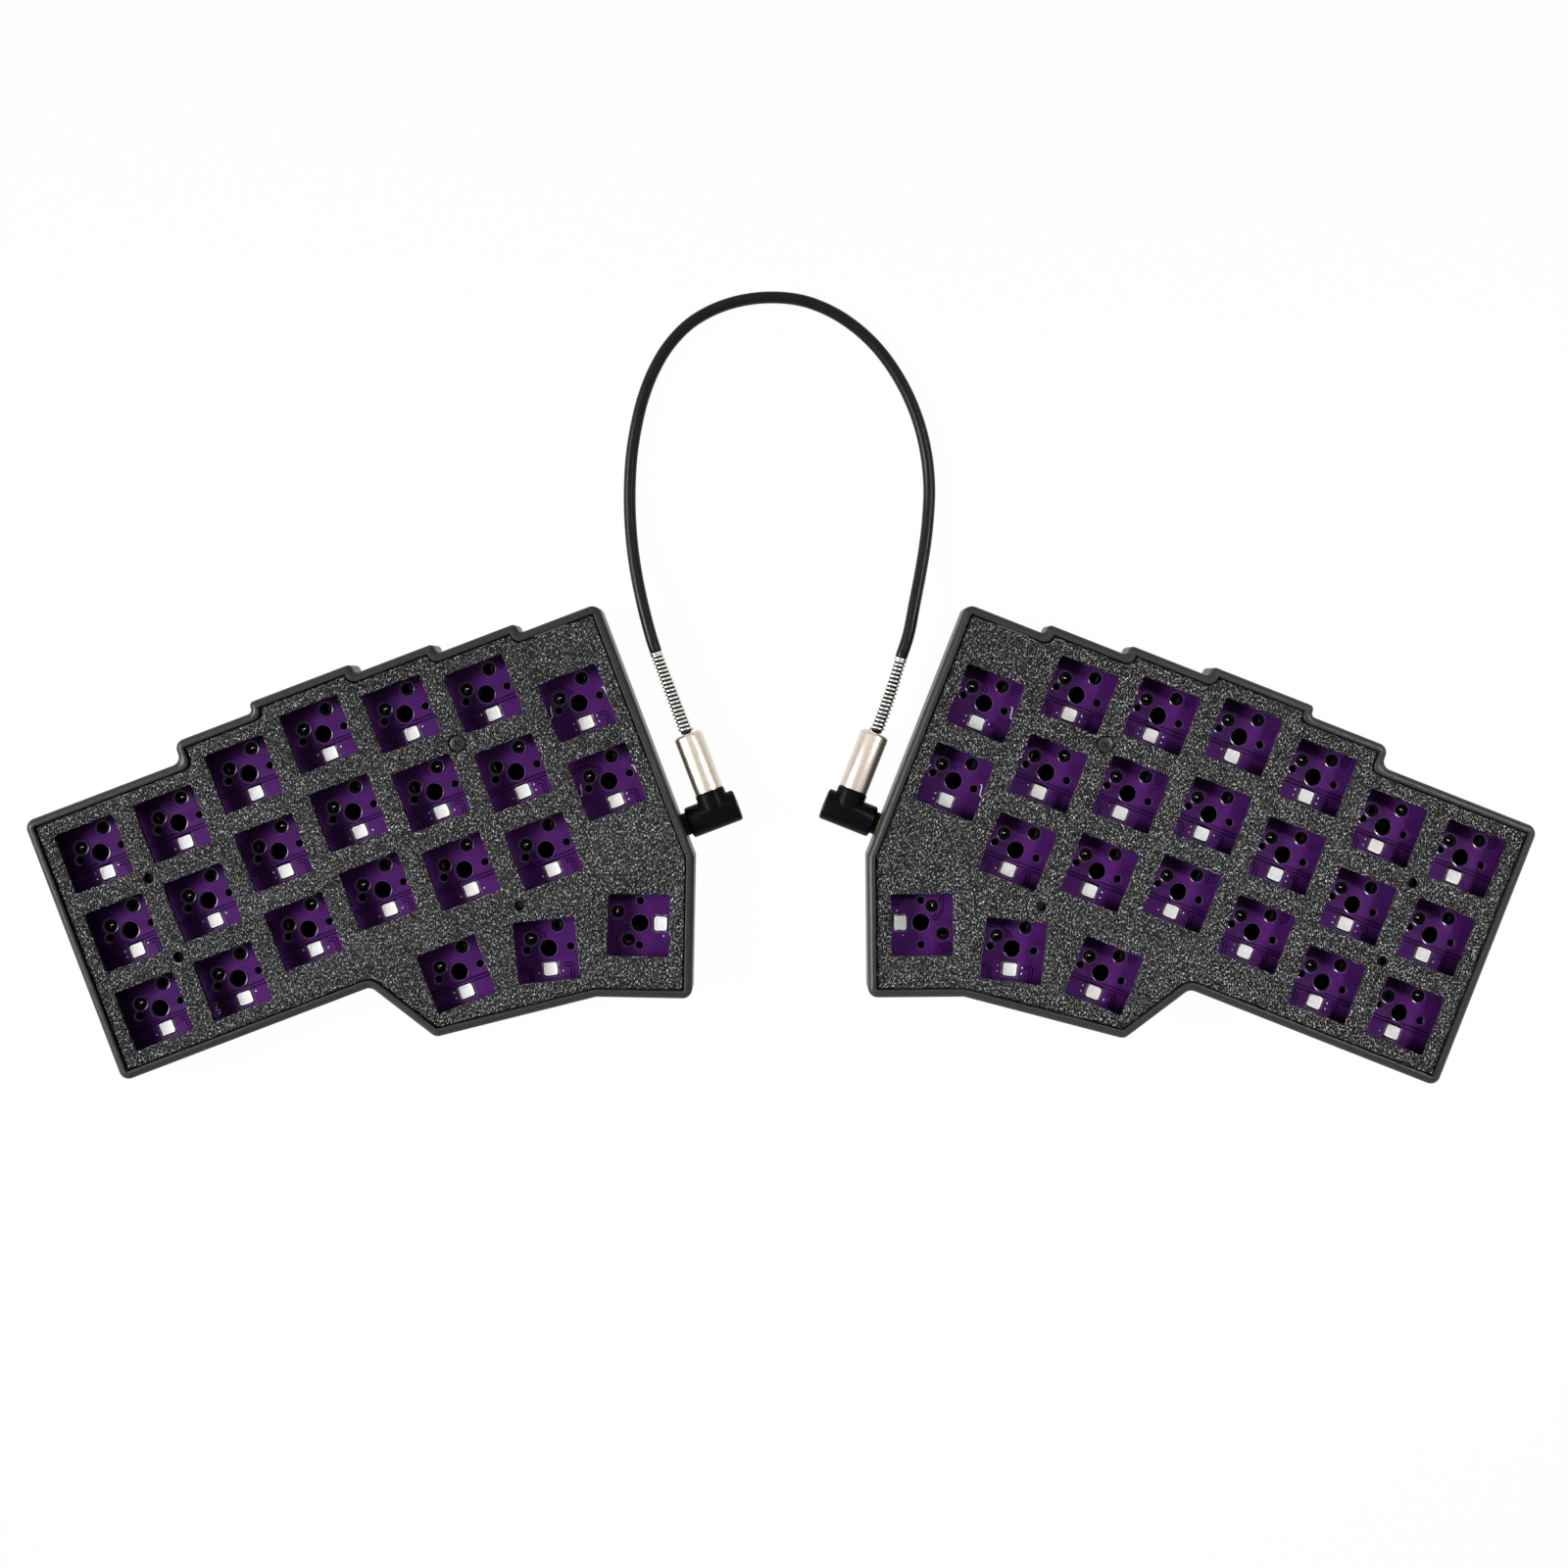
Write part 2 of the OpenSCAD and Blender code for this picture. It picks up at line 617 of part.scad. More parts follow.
module jack_contacts() { color([0.82, 0.78, 0.68]) jack_tabs(0); }

// Plug, drawn with the face of its neck at the origin, its pin along -X and its sleeve along +Y
module left_plug_place() { on_left() translate([inner_edge + left_seat, jack_y, jack_z]) children(); }
module right_plug_place() { on_right() translate([inner_edge + right_seat, jack_y, jack_z]) children(); }
module along_x(x) { translate([x, 0, 0]) rotate([0, 90, 0]) children(); }
module along_y(x, y) { translate([x, y, 0]) rotate([-90, 0, 0]) children(); }

pole_l = (pin_l - 3 * band_w) / 4;
pin_root = -shoulder_t - pin_l;
function pole_x(i) = pin_root + i * (pole_l + band_w);

module plug_pin() {
    r = pin_d / 2;
    color([0.85, 0.7, 0.42]) {
        along_x(pole_x(0)) rotate_extrude()
            polygon([[0, 0], [0.5, 0], [r, pole_l * 0.45], [r * 0.8, pole_l * 0.8], [r * 0.8, pole_l],
                     [0, pole_l]]);
        for (i = [1, 2]) along_x(pole_x(i)) cylinder(r = r, h = pole_l);
        along_x(pole_x(3)) cylinder(r = r, h = pole_l + skin);
        along_x(-shoulder_t) cylinder(d = shoulder_d, h = shoulder_t);
    }
}
module plug_bands() {
    color([0.06, 0.06, 0.06])
    for (i = [0:2]) along_x(pole_x(i) + pole_l) cylinder(d = pin_d, h = band_w);
}
module plug_elbow() {
    r = elbow_d / 2;
    c = elbow_chamfer;
    spigot_r = sleeve_d / 2 - sleeve_wall - 0.05;
    color([0.05, 0.05, 0.05]) {
        along_x(0) cylinder(d = neck_d, h = neck_l + skin);
        along_x(neck_l) rotate_extrude()
            polygon([[0, 0], [r - c, 0], [r, c], [r, elbow_l - c], [r - c, elbow_l], [0, elbow_l]]);
        along_y(sleeve_offset, 0) cylinder(d = collar_d, h = collar_top);
        along_y(sleeve_offset, collar_top - skin) cylinder(r = spigot_r, h = spigot_l + skin);
    }
}
module plug_sleeve() {
    r = sleeve_d / 2;
    bore = r - sleeve_wall;
    c = sleeve_chamfer;
    exit_r = core_d / 2 + 0.15;
    color([0.86, 0.8, 0.76])
    along_y(sleeve_offset, collar_top) rotate_extrude()
        polygon([[bore, 0], [r, 0], [r, sleeve_l - c], [r - c, sleeve_l], [exit_r, sleeve_l],
                 [exit_r, sleeve_l - sleeve_wall], [bore, sleeve_l - sleeve_wall]]);
}

// A tube swept through rings of points
function tube_faces(rings, sides) = concat(
    [for (i = [0:rings - 2], k = [0:sides - 1])
        let (a = i * sides + k, b = i * sides + (k + 1) % sides)
            each [[a, a + sides, b], [b, a + sides, b + sides]]],
    [for (k = [1:sides - 2]) [0, k, k + 1]],
    [for (k = [1:sides - 2]) let (e = (rings - 1) * sides) [e, e + k + 1, e + k]]
);
function along(pts, i) = unit(pts[min(i + 1, len(pts) - 1)] - pts[max(i - 1, 0)]);
function ring_points(p, t, side, r, sides) =
    let (a = unit(side - t * (side * t)), b = cross(t, a))
        [for (k = [0:sides - 1]) p + r * (cos(360 * k / sides) * a + sin(360 * k / sides) * b)];
module tube(pts, sides_to, radii, sides) {
    rings = [
        for (i = [0:len(pts) - 1])
            each ring_points(pts[i], along(pts, i), sides_to[i], radii[i], sides)
    ];
    polyhedron(rings, tube_faces(len(pts), sides));
}

// Strain relief: the wire leaves the sleeve squarely, turns into the coil, and ends squarely again.
// Its path is laid out flat as [way around, height] and then wrapped around the cord.
coil_r = (coil_d - wire_d) / 2;
coil_end_r = (coil_end_d - wire_d) / 2;
turn_l = 2 * PI * coil_r;
climb = atan(coil_pitch / turn_l);
entry_r = wire_d;
entry_turn = 90 - climb;
coil_y = collar_top + sleeve_l;
entry_end = [entry_r * (1 - cos(entry_turn)), wire_d + entry_r * sin(entry_turn)];
function coil_l(turns) = 2 * entry_end.y + turns * coil_pitch;
function coil_flat(turns) = concat(
    [[0, 0], [0, wire_d / 2]],
    [for (a = [0, 30, 60]) [entry_r * (1 - cos(a)), wire_d + entry_r * sin(a)]],
    [for (k = [0:turns * coil_rings]) entry_end + [turn_l, coil_pitch] * (k / coil_rings)],
    [for (a = [60, 30, 0])
        [2 * entry_end.x + turns * turn_l - entry_r * (1 - cos(a)),
         coil_l(turns) - wire_d - entry_r * sin(a)]],
    [[2 * entry_end.x + turns * turn_l, coil_l(turns) - wire_d / 2],
     [2 * entry_end.x + turns * turn_l, coil_l(turns)]]
);
function coil_side(p) = [cos(360 * p.x / turn_l), 0, sin(360 * p.x / turn_l)];
function coil_axis(y, l, bend) = [sleeve_offset + bend * pow(y / l, 2), coil_y + y, 0];
function coil_radius(y, l) = coil_r + (coil_end_r - coil_r) * y / l;
function coil_path(turns, bend) = let (l = coil_l(turns))
    [for (p = coil_flat(turns)) coil_axis(p.y, l, bend) + coil_radius(p.y, l) * coil_side(p)];
function coil_gap(pts) = min([
    for (i = [0:len(pts) - 1], j = [i + coil_rings - 2:1:min(i + coil_rings + 2, len(pts) - 1)])
        norm(pts[i] - pts[j])
]) - wire_d;

module strain_relief(turns, bend) {
    pts = coil_path(turns, bend);
    color([0.85, 0.85, 0.83])
    tube(pts, [for (p = coil_flat(turns)) coil_side(p)], [for (p = pts) wire_d / 2], coil_sides);
}
echo(left_spring_gap = coil_gap(coil_path(left_turns, left_bend)));
echo(right_spring_gap = coil_gap(coil_path(right_turns, right_bend)));

// Cord: from spigot to spigot. Its free stretch leaves the strain reliefs, comes down and lies on the desk.
cord_route = [
    [-29.8, 47.5, 6.6], [-31.6, 54.2, 5.6], [-33.1, 61, 4.3], [-34.2, 68, 3.1], [-34.8, 75, 2.2],
    [-34.9, 82, 1.7], [-34.5, 89, 1.5], [-33.5, 95.6, 1.5], [-31.9, 102.3, 1.5], [-29.4, 108.8, 1.5],
    [-25.9, 114.7, 1.5], [-21.1, 119.7, 1.5], [-15.1, 123.2, 1.5], [-8.5, 125.2, 1.5], [-1.6, 125.8, 1.5],
    [5.2, 125, 1.5], [11.7, 122.5, 1.5], [17.5, 118.7, 1.5], [22.5, 113.9, 1.5], [26.6, 108.3, 1.5],
    [29.8, 102.3, 1.5], [32.2, 95.8, 1.5], [33.7, 89, 1.5], [34.3, 82, 1.7], [34, 75, 2.2],
    [33.2, 68.2, 3.1], [32, 61.4, 4.3], [30.6, 54.5, 5.6], [29.2, 47.7, 6.6]
];
function left_row(p) = let (q = turned(p, splay_left)) [q.x + left_place.x, q.y + left_place.y, p.z];
function right_row(p) = let (q = turned([-p.x, p.y], -splay_right))
    [q.x + right_place.x, q.y + right_place.y, p.z];
function core_line(turns, bend) = let (l = coil_l(turns)) concat(
    [[sleeve_offset, collar_top + spigot_l, 0], [sleeve_offset, coil_y, 0]],
    [for (k = [0.25, 0.5, 0.75, 1]) coil_axis(k * l, l, bend)]
);
function seated(pts, seat) = [for (p = pts) p + [inner_edge + seat, jack_y, jack_z]];
left_core = [for (p = seated(core_line(left_turns, left_bend), left_seat)) left_row(p)];
right_core = [for (p = seated(core_line(right_turns, right_bend), right_seat)) right_row(p)];
function reversed(pts) = [for (i = [len(pts) - 1:-1:0]) pts[i]];
function grown(pts) = let (n = len(pts)) pts[n - 1] + unit(pts[n - 1] - pts[n - 2]) * cord_d / 4;
cord_points = concat(left_core, [grown(left_core)], cord_route, [grown(right_core)], reversed(right_core));
cord_radii = concat(
    [for (p = left_core) core_d / 2],
    [for (i = [0:len(cord_route) + 1]) cord_d / 2],
    [for (p = right_core) core_d / 2]
);

module link_cord() {
    color([0.07, 0.07, 0.07])
    tube(cord_points, [for (i = [0:len(cord_points) - 1]) cross(along(cord_points, i), [0, 0, 1])],
         cord_radii, cord_sides);
}

// Nodes of the left half, the right half, and the cord with its two plugs
module left_case() on_left() case_shell();
module left_plate() on_left() switch_plate();
module left_board() on_left() circuit_board(1);
module left_sockets() on_left() sockets(1);
module left_socket_contacts() on_left() socket_contacts(1);
module left_lamps() on_left() lamps(1);
module left_diodes() on_left() diodes(1);
module left_controller_chip() on_left() controller_chip();
module left_memory_chip() on_left() memory_chip();
module left_crystal() on_left() crystal();
module left_regulator() on_left() regulator();
module left_capacitors() on_left() capacitors();
module left_port_shell() on_left() port_shell();
module left_port_tongue() on_left() port_tongue();
module left_reset_switch() on_left() push_base(0);
module left_reset_button() on_left() push_plunger(0);
module left_boot_switch() on_left() push_base(1);
module left_boot_button() on_left() push_plunger(1);
module left_jack() on_left() jack_body();
module left_jack_contacts() on_left() jack_contacts();
module left_standoffs() on_left() standoffs();
module left_base_screws() on_left() base_screws();
module left_plate_screw() on_left() plate_screw();
module left_feet() on_left() feet();
module right_case() on_right() case_shell();
module right_plate() on_right() switch_plate();
module right_board() on_right() circuit_board(-1);
module right_sockets() on_right() sockets(-1);
module right_socket_contacts() on_right() socket_contacts(-1);
module right_lamps() on_right() lamps(-1);
module right_diodes() on_right() diodes(-1);
module right_controller_chip() on_right() controller_chip();
module right_memory_chip() on_right() memory_chip();
module right_crystal() on_right() crystal();
module right_regulator() on_right() regulator();
module right_capacitors() on_right() capacitors();
module right_port_shell() on_right() port_shell();
module right_port_tongue() on_right() port_tongue();
module right_reset_switch() on_right() push_base(0);
module right_reset_button() on_right() push_plunger(0);
module right_boot_switch() on_right() push_base(1);
module right_boot_button() on_right() push_plunger(1);
module right_jack() on_right() jack_body();
module right_jack_contacts() on_right() jack_contacts();
module right_standoffs() on_right() standoffs();
module right_base_screws() on_right() base_screws();
module right_plate_screw() on_right() plate_screw();
module right_feet() on_right() feet();
module left_plug_pin() left_plug_place() plug_pin();
module left_plug_bands() left_plug_place() plug_bands();
module left_plug_elbow() left_plug_place() plug_elbow();
module left_plug_sleeve() left_plug_place() plug_sleeve();
module left_strain_relief() left_plug_place() strain_relief(left_turns, left_bend);
module right_plug_pin() right_plug_place() plug_pin();
module right_plug_bands() right_plug_place() plug_bands();
module right_plug_elbow() right_plug_place() plug_elbow();
module right_plug_sleeve() right_plug_place() plug_sleeve();
module right_strain_relief() right_plug_place() strain_relief(right_turns, right_bend);

left_case();
left_plate();
left_board();
left_sockets();
left_socket_contacts();
left_lamps();
left_diodes();
left_controller_chip();
left_memory_chip();
left_crystal();
left_regulator();
left_capacitors();
left_port_shell();
left_port_tongue();
left_reset_switch();
left_reset_button();
left_boot_switch();
left_boot_button();
left_jack();
left_jack_contacts();
left_standoffs();
left_base_screws();
left_plate_screw();
left_feet();
right_case();
right_plate();
right_board();
right_sockets();
right_socket_contacts();
right_lamps();
right_diodes();
right_controller_chip();
right_memory_chip();
right_crystal();
right_regulator();
right_capacitors();
right_port_shell();
right_port_tongue();
right_reset_switch();
right_reset_button();
right_boot_switch();
right_boot_button();
right_jack();
right_jack_contacts();
right_standoffs();
right_base_screws();
right_plate_screw();
right_feet();
left_plug_pin();
left_plug_bands();
left_plug_elbow();
left_plug_sleeve();
left_strain_relief();
right_plug_pin();
right_plug_bands();
right_plug_elbow();
right_plug_sleeve();
right_strain_relief();
link_cord();
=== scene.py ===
import math
import random

import bmesh
import bpy
import numpy as np
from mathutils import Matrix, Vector


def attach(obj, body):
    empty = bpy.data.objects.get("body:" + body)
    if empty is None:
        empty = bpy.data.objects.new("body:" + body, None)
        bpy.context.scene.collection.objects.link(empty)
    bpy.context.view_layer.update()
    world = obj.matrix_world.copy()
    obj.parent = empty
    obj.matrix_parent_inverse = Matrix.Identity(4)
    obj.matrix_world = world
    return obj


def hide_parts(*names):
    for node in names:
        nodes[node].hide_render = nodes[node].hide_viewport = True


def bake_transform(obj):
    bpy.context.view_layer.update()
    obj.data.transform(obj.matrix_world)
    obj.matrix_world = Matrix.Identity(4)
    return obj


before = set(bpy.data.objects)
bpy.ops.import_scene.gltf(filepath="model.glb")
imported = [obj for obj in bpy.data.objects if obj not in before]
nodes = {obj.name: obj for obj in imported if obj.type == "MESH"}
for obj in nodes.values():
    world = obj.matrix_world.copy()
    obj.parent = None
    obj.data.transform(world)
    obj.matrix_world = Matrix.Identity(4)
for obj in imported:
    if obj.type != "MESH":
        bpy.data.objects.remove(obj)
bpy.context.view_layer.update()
MM = 0.001

# Sizes of the model, in millimetres
PITCH = 19.05
RISE = [0, 0, 4.76, 7.14, 4.76, 2.38]
INNER_DROP = 7.14
THUMB_COLUMN = [3.51, 4.61, 5.74]
THUMB_DROP = [0.87, 0.99, 1.1]
THUMB_TURN = [0, -15, -22]
LONG_KEY = 1.5
MARGIN, THUMB_MARGIN = 2.85, 2.1
CORNER = 2.2
WALL, PLATE_GAP, BOARD_GAP = 1.85, 0.25, 0.5
FLOOR_TOP, BOARD_Z, BOARD_TOP, PLATE_Z, PLATE_TOP = 3.5, 6.0, 7.6, 11.1, 12.6
PLACE = {"left": (-155.416, -2.04683, 20.9, 1), "right": (155.358, -3.22109, -21.5, -1)}
SIDES = ("left", "right")
INNER = 6.5 * PITCH + MARGIN
FAR = PITCH / 2 + MARGIN
LOWEST = -2 * PITCH
JACK_Y, JACK_Z = LOWEST - 3.65, BOARD_Z + 0.8
SEAT = {"left": 0.15, "right": 0.15}
SLEEVE_X, COLLAR_TOP, SLEEVE_L, SPIGOT_L = 8.0, 5.25, 14.0, 7.0
COIL_Y = COLLAR_TOP + SLEEVE_L
WIRE, COIL_PITCH, COIL_D, COIL_END_D = 0.5, 0.95, 3.7, 3.3
TURNS = {"left": 19, "right": 17}
BEND = {"left": 0.0, "right": 0.9}
CORD_D, CORE_D = 2.8, 1.6
WINDOW, WINDOW_ROUND = 14.0, 0.45
POST_R, SIDE_X, SIDE_R, BARREL_R = 2.0, 5.08, 0.875, 1.5
BARRELS = ((2.54, 5.08), (-3.81, 2.54))
LAMP_Y, LAMP_W, LAMP_D, LAMP_PLAY = -4.78, 3.2, 2.9, 0.35
JACK_L, JACK_W, JACK_PLAY = 13.2, 6.0, 0.3
PORT_X, PORT_W, PORT_H, PORT_ROUND, PORT_FLARE = 6 * PITCH, 9.54, 3.86, 1.92, 0.23
PORT_Z = BOARD_TOP + 1.63
BUTTON_REACH, BUTTON_Y = 6.87, FAR - WALL - BOARD_GAP - 3.2
TOP_SCREW, HEAD_DEPTH = 2, 0.8
BOSS_R, RECESS_R, BORE_R, ACCESS_R = 2.4, 2.1, 1.05, 1.3
FOOT_INSET = 5.5
ELBOW_R, ELBOW_L, COLLAR_R, SPIGOT_R, SLEEVE_R = 3.6, 12.0, 3.45, 2.3, 3.3


def turned(p, a):
    """The flat point p turned by a degrees."""
    c, s = math.cos(math.radians(a)), math.sin(math.radians(a))
    return np.array([p[0] * c - p[1] * s, p[0] * s + p[1] * c])


def to_row(side, verts):
    """Points of a half's key frame, in mm, as points of the row frame, in metres."""
    x, y, a, hand = PLACE[side]
    v = np.array(verts, float).reshape(-1, 3)
    c, s = math.cos(math.radians(a)), math.sin(math.radians(a))
    u = v[:, 0] * hand
    return np.stack([x + u * c - v[:, 1] * s, y + u * s + v[:, 1] * c, v[:, 2]], 1) * MM


KEYS = [(c * PITCH, RISE[c] - r * PITCH, 0, 0) for c in range(6) for r in range(3)]
KEYS += [(6 * PITCH, -INNER_DROP - r * PITCH, 0, 0) for r in range(2)]
THUMBS = [(THUMB_COLUMN[i] * PITCH, LOWEST - THUMB_DROP[i] * PITCH, THUMB_TURN[i],
           THUMB_TURN[i] + (90 if i == 2 else 0)) for i in range(3)]
KEYS += THUMBS
SCREWS = [(0.5 * PITCH, -0.5 * PITCH), (0.5 * PITCH, -1.5 * PITCH),
          (4.5 * PITCH, (RISE[4] + RISE[5]) / 2 - 0.5 * PITCH), (4.5 * PITCH, RISE[5] - 2.5 * PITCH)]


# Outline of the case and its insets
def case_points():
    """The case's corners, in the key frame of a half."""
    def far(c):
        return (RISE[c] if c < 6 else 0) + PITCH / 2 + MARGIN
    pts = [(-PITCH / 2 - MARGIN, far(0))]
    for c in range(1, 7):
        if far(c) != far(c - 1):
            x = (c - 0.5) * PITCH + (-MARGIN if far(c) > far(c - 1) else MARGIN)
            pts += [(x, far(c - 1)), (x, far(c))]

    def at_thumb(i, p):
        return np.array(THUMBS[i][:2]) + turned(p, THUMB_TURN[i])
    th = LONG_KEY * PITCH / 2 + THUMB_MARGIN
    corner = at_thumb(2, (PITCH / 2 + MARGIN, -th))
    side = at_thumb(2, (PITCH / 2 + MARGIN, th)) - corner
    base = at_thumb(2, (0, -th)) - corner
    kink = at_thumb(1, (PITCH / 2, -PITCH / 2))[0]
    near = LOWEST - PITCH / 2 - MARGIN
    pts += [(INNER, far(6)), tuple(corner + side * ((INNER - corner[0]) / side[0])), tuple(corner),
            tuple(corner + base * ((kink - corner[0]) / base[0])),
            (THUMBS[0][0] - PITCH / 2, THUMBS[0][1] - PITCH / 2 - THUMB_MARGIN),
            (2.5 * PITCH, near), (-PITCH / 2 - MARGIN, near)]
    return np.array(pts, float)


CASE = case_points()


def inset_corner(i, d):
    """A corner of the case moved inwards by d, with its two edges' lengths, directions and inward normals."""
    a, b, c = CASE[i - 1], CASE[i], CASE[(i + 1) % len(CASE)]
    lengths = np.linalg.norm(b - a), np.linalg.norm(c - b)
    e, f = (b - a) / lengths[0], (c - b) / lengths[1]
    na, nb = np.array([e[1], -e[0]]), np.array([f[1], -f[0]])
    return b + (na + nb) * d / (1 + na @ nb), lengths, e, f, na


def outline(d, r=CORNER, steps=8):
    """The case's outline moved inwards by d, with round corners that share their centres where they can."""
    out = []
    for i in range(len(CASE)):
        p, lengths, e, f, na = inset_corner(i, d)
        bend = math.acos(max(-1, min(1, e @ f)))
        left = e[0] * f[1] - e[1] * f[0] > 0
        t = math.tan(bend / 2)
        base = min(r, 0.45 * min(lengths) / t)
        rad = min(base + d, 2.0 / t) if left else max(base - d, 0.12)
        inward = np.array([-e[1], e[0]]) if left else na
        start = p - e * rad * t
        centre = start + inward * rad
        for k in range(steps + 1):
            out.append(centre + turned(start - centre, math.degrees(bend) * k / steps * (1 if left else -1)))
    return np.array(out)


# Meshes
def shade(ob, angle=35):
    """Smooth faces, with the edges that are sharper than angle kept sharp."""
    me = ob.data
    bm = bmesh.new()
    bm.from_mesh(me)
    bm.edges.ensure_lookup_table()
    lim = math.radians(angle)
    for e in bm.edges:
        e.smooth = len(e.link_faces) == 2 and e.calc_face_angle(0) < lim
    for f in bm.faces:
        f.smooth = True
    bm.to_mesh(me)
    bm.free()


def mesh_object(name, verts, faces, materials=(), index=None):
    me = bpy.data.meshes.new(name)
    me.from_pydata([tuple(v) for v in verts], [], [tuple(f) for f in faces])
    for m in materials:
        me.materials.append(m)
    if index is not None:
        me.polygons.foreach_set("material_index", list(index))
    me.update()
    ob = bpy.data.objects.new(name, me)
    bpy.context.scene.collection.objects.link(ob)
    return ob


def outward(ob):
    """Joins double points and turns all faces outwards."""
    bm = bmesh.new()
    bm.from_mesh(ob.data)
    bmesh.ops.remove_doubles(bm, verts=bm.verts, dist=1e-7)
    bmesh.ops.recalc_face_normals(bm, faces=bm.faces)
    bm.to_mesh(ob.data)
    bm.free()
    return ob


PRISM = [(4, 5, 6, 7), (0, 1, 5, 4), (1, 2, 6, 5), (2, 3, 7, 6), (3, 0, 4, 7), (3, 2, 1, 0)]


def moved(x, y):
    """Moves a point of a lathe's own frame to (x, y)."""
    return lambda p: (p[0] + x, p[1] + y, p[2])


class Heap:
    """Gathers the faces of one piece, in the key frame of a half."""
    def __init__(self):
        self.v, self.f, self.m = [], [], []

    def add(self, verts, faces, m=0):
        n = len(self.v)
        self.v += [tuple(p) for p in verts]
        self.f += [tuple(i + n for i in f) for f in faces]
        self.m += [m] * len(faces)

    def lathe(self, profile, n=32, m=0, turn=None):
        v, f, k = [], [], len(profile)
        for i in range(n):
            a = 2 * math.pi * i / n
            v += [(r * math.cos(a), r * math.sin(a), z) for r, z in profile]
        for i in range(n):
            j = (i + 1) % n
            f += [(i * k + q, j * k + q, j * k + q + 1, i * k + q + 1) for q in range(k - 1)]
        self.add([turn(p) for p in v] if turn else v, f, m)

    def object(self, name, side, materials):
        ob = mesh_object(name, to_row(side, self.v), self.f, materials, self.m)
        return outward(ob)


def loft(heap, rings, m=0, cap_first=True, cap_last=True):
    """A skin over rings of the same count of points."""
    n = len(rings[0])
    v = [p for r in rings for p in r]
    f = []
    for i in range(len(rings) - 1):
        f += [(i * n + k, i * n + (k + 1) % n, (i + 1) * n + (k + 1) % n, (i + 1) * n + k) for k in range(n)]
    if cap_first:
        f.append(tuple(range(n)))
    if cap_last:
        f.append(tuple((len(rings) - 1) * n + k for k in range(n)))
    heap.add(v, f, m)


def apply_modifiers(ob):
    dg = bpy.context.evaluated_depsgraph_get()
    me = bpy.data.meshes.new_from_object(ob.evaluated_get(dg))
    old = ob.data
    ob.modifiers.clear()
    ob.data = me
    bpy.data.meshes.remove(old)
    return ob


def cut(ob, cutter, operation="DIFFERENCE"):
    """Cuts ob by cutter, or joins them, and removes cutter."""
    mod = ob.modifiers.new("cut", "BOOLEAN")
    mod.object, mod.operation, mod.solver = cutter, operation, "EXACT"
    apply_modifiers(ob)
    bpy.data.objects.remove(cutter)
    return ob


def sheet_curve(loops, depth, bevel):
    """Vertices and faces of a flat plate from its outline and holes, in mm, with its edges rounded by bevel."""
    cu = bpy.data.curves.new("flat", "CURVE")
    cu.dimensions, cu.fill_mode = "2D", "BOTH"
    cu.extrude, cu.bevel_depth, cu.bevel_resolution, cu.offset = depth / 2 - bevel, bevel, 2, -bevel
    for loop in loops:
        sp = cu.splines.new("POLY")
        sp.points.add(len(loop) - 1)
        for q, p in zip(sp.points, loop):
            q.co = (p[0], p[1], 0, 1)
        sp.use_cyclic_u = True
    ob = bpy.data.objects.new("flat", cu)
    bpy.context.scene.collection.objects.link(ob)
    dg = bpy.context.evaluated_depsgraph_get()
    me = bpy.data.meshes.new_from_object(ob.evaluated_get(dg))
    v = [tuple(p.co) for p in me.vertices]
    f = [tuple(p.vertices) for p in me.polygons]
    bpy.data.objects.remove(ob)
    bpy.data.curves.remove(cu)
    bpy.data.meshes.remove(me)
    return v, f


def circle(x, y, r, n=28):
    return [(x + r * math.cos(2 * math.pi * k / n), y + r * math.sin(2 * math.pi * k / n)) for k in range(n)]


def round_rect(w, h, r, n=4):
    """A rectangle round its own centre, with round corners."""
    out = []
    for sx, sy, a in ((1, 1, 0), (-1, 1, 90), (-1, -1, 180), (1, -1, 270)):
        for k in range(n + 1):
            t = math.radians(a + 90 * k / n)
            out.append((sx * (w / 2 - r) + r * math.cos(t), sy * (h / 2 - r) + r * math.sin(t)))
    return out


def spot(key, p, hand, footprint=True):
    """A point of a key's own frame, in the key frame of its half."""
    q = turned((p[0] * (hand if footprint else 1), p[1]), key[3] if footprint else key[2])
    return (key[0] + q[0], key[1] + q[1])


def tube(path, radii, side_to, sides):
    """Rings of a tube along path; side_to gives each ring's first direction."""
    path = np.array(path, float)
    n = len(path)
    v, f = [], []
    for i in range(n):
        t = path[min(i + 1, n - 1)] - path[max(i - 1, 0)]
        t /= np.linalg.norm(t)
        a = np.array(side_to[i], float)
        a = a - t * (a @ t)
        a /= np.linalg.norm(a)
        b = np.cross(t, a)
        for k in range(sides):
            w = 2 * math.pi * k / sides
            v.append(path[i] + radii[i] * (math.cos(w) * a + math.sin(w) * b))
    for i in range(n - 1):
        f += [(i * sides + k, i * sides + (k + 1) % sides, (i + 1) * sides + (k + 1) % sides, (i + 1) * sides + k)
              for k in range(sides)]
    f.append(tuple(range(sides)))
    f.append(tuple((n - 1) * sides + k for k in range(sides)))
    return v, f


# Materials
def add_node(nt, kind, values=None, links=None):
    """A new shader node, with values on its sockets and other nodes' outputs linked to them."""
    node = nt.nodes.new("ShaderNode" + kind)
    for socket, value in (values or {}).items():
        node.inputs[socket].default_value = value
    for socket, source in (links or {}).items():
        nt.links.new(source, node.inputs[socket])
    return node


def new_material(name):
    mat = bpy.data.materials.new(name)
    mat.use_nodes = True
    mat.node_tree.nodes.clear()
    return mat


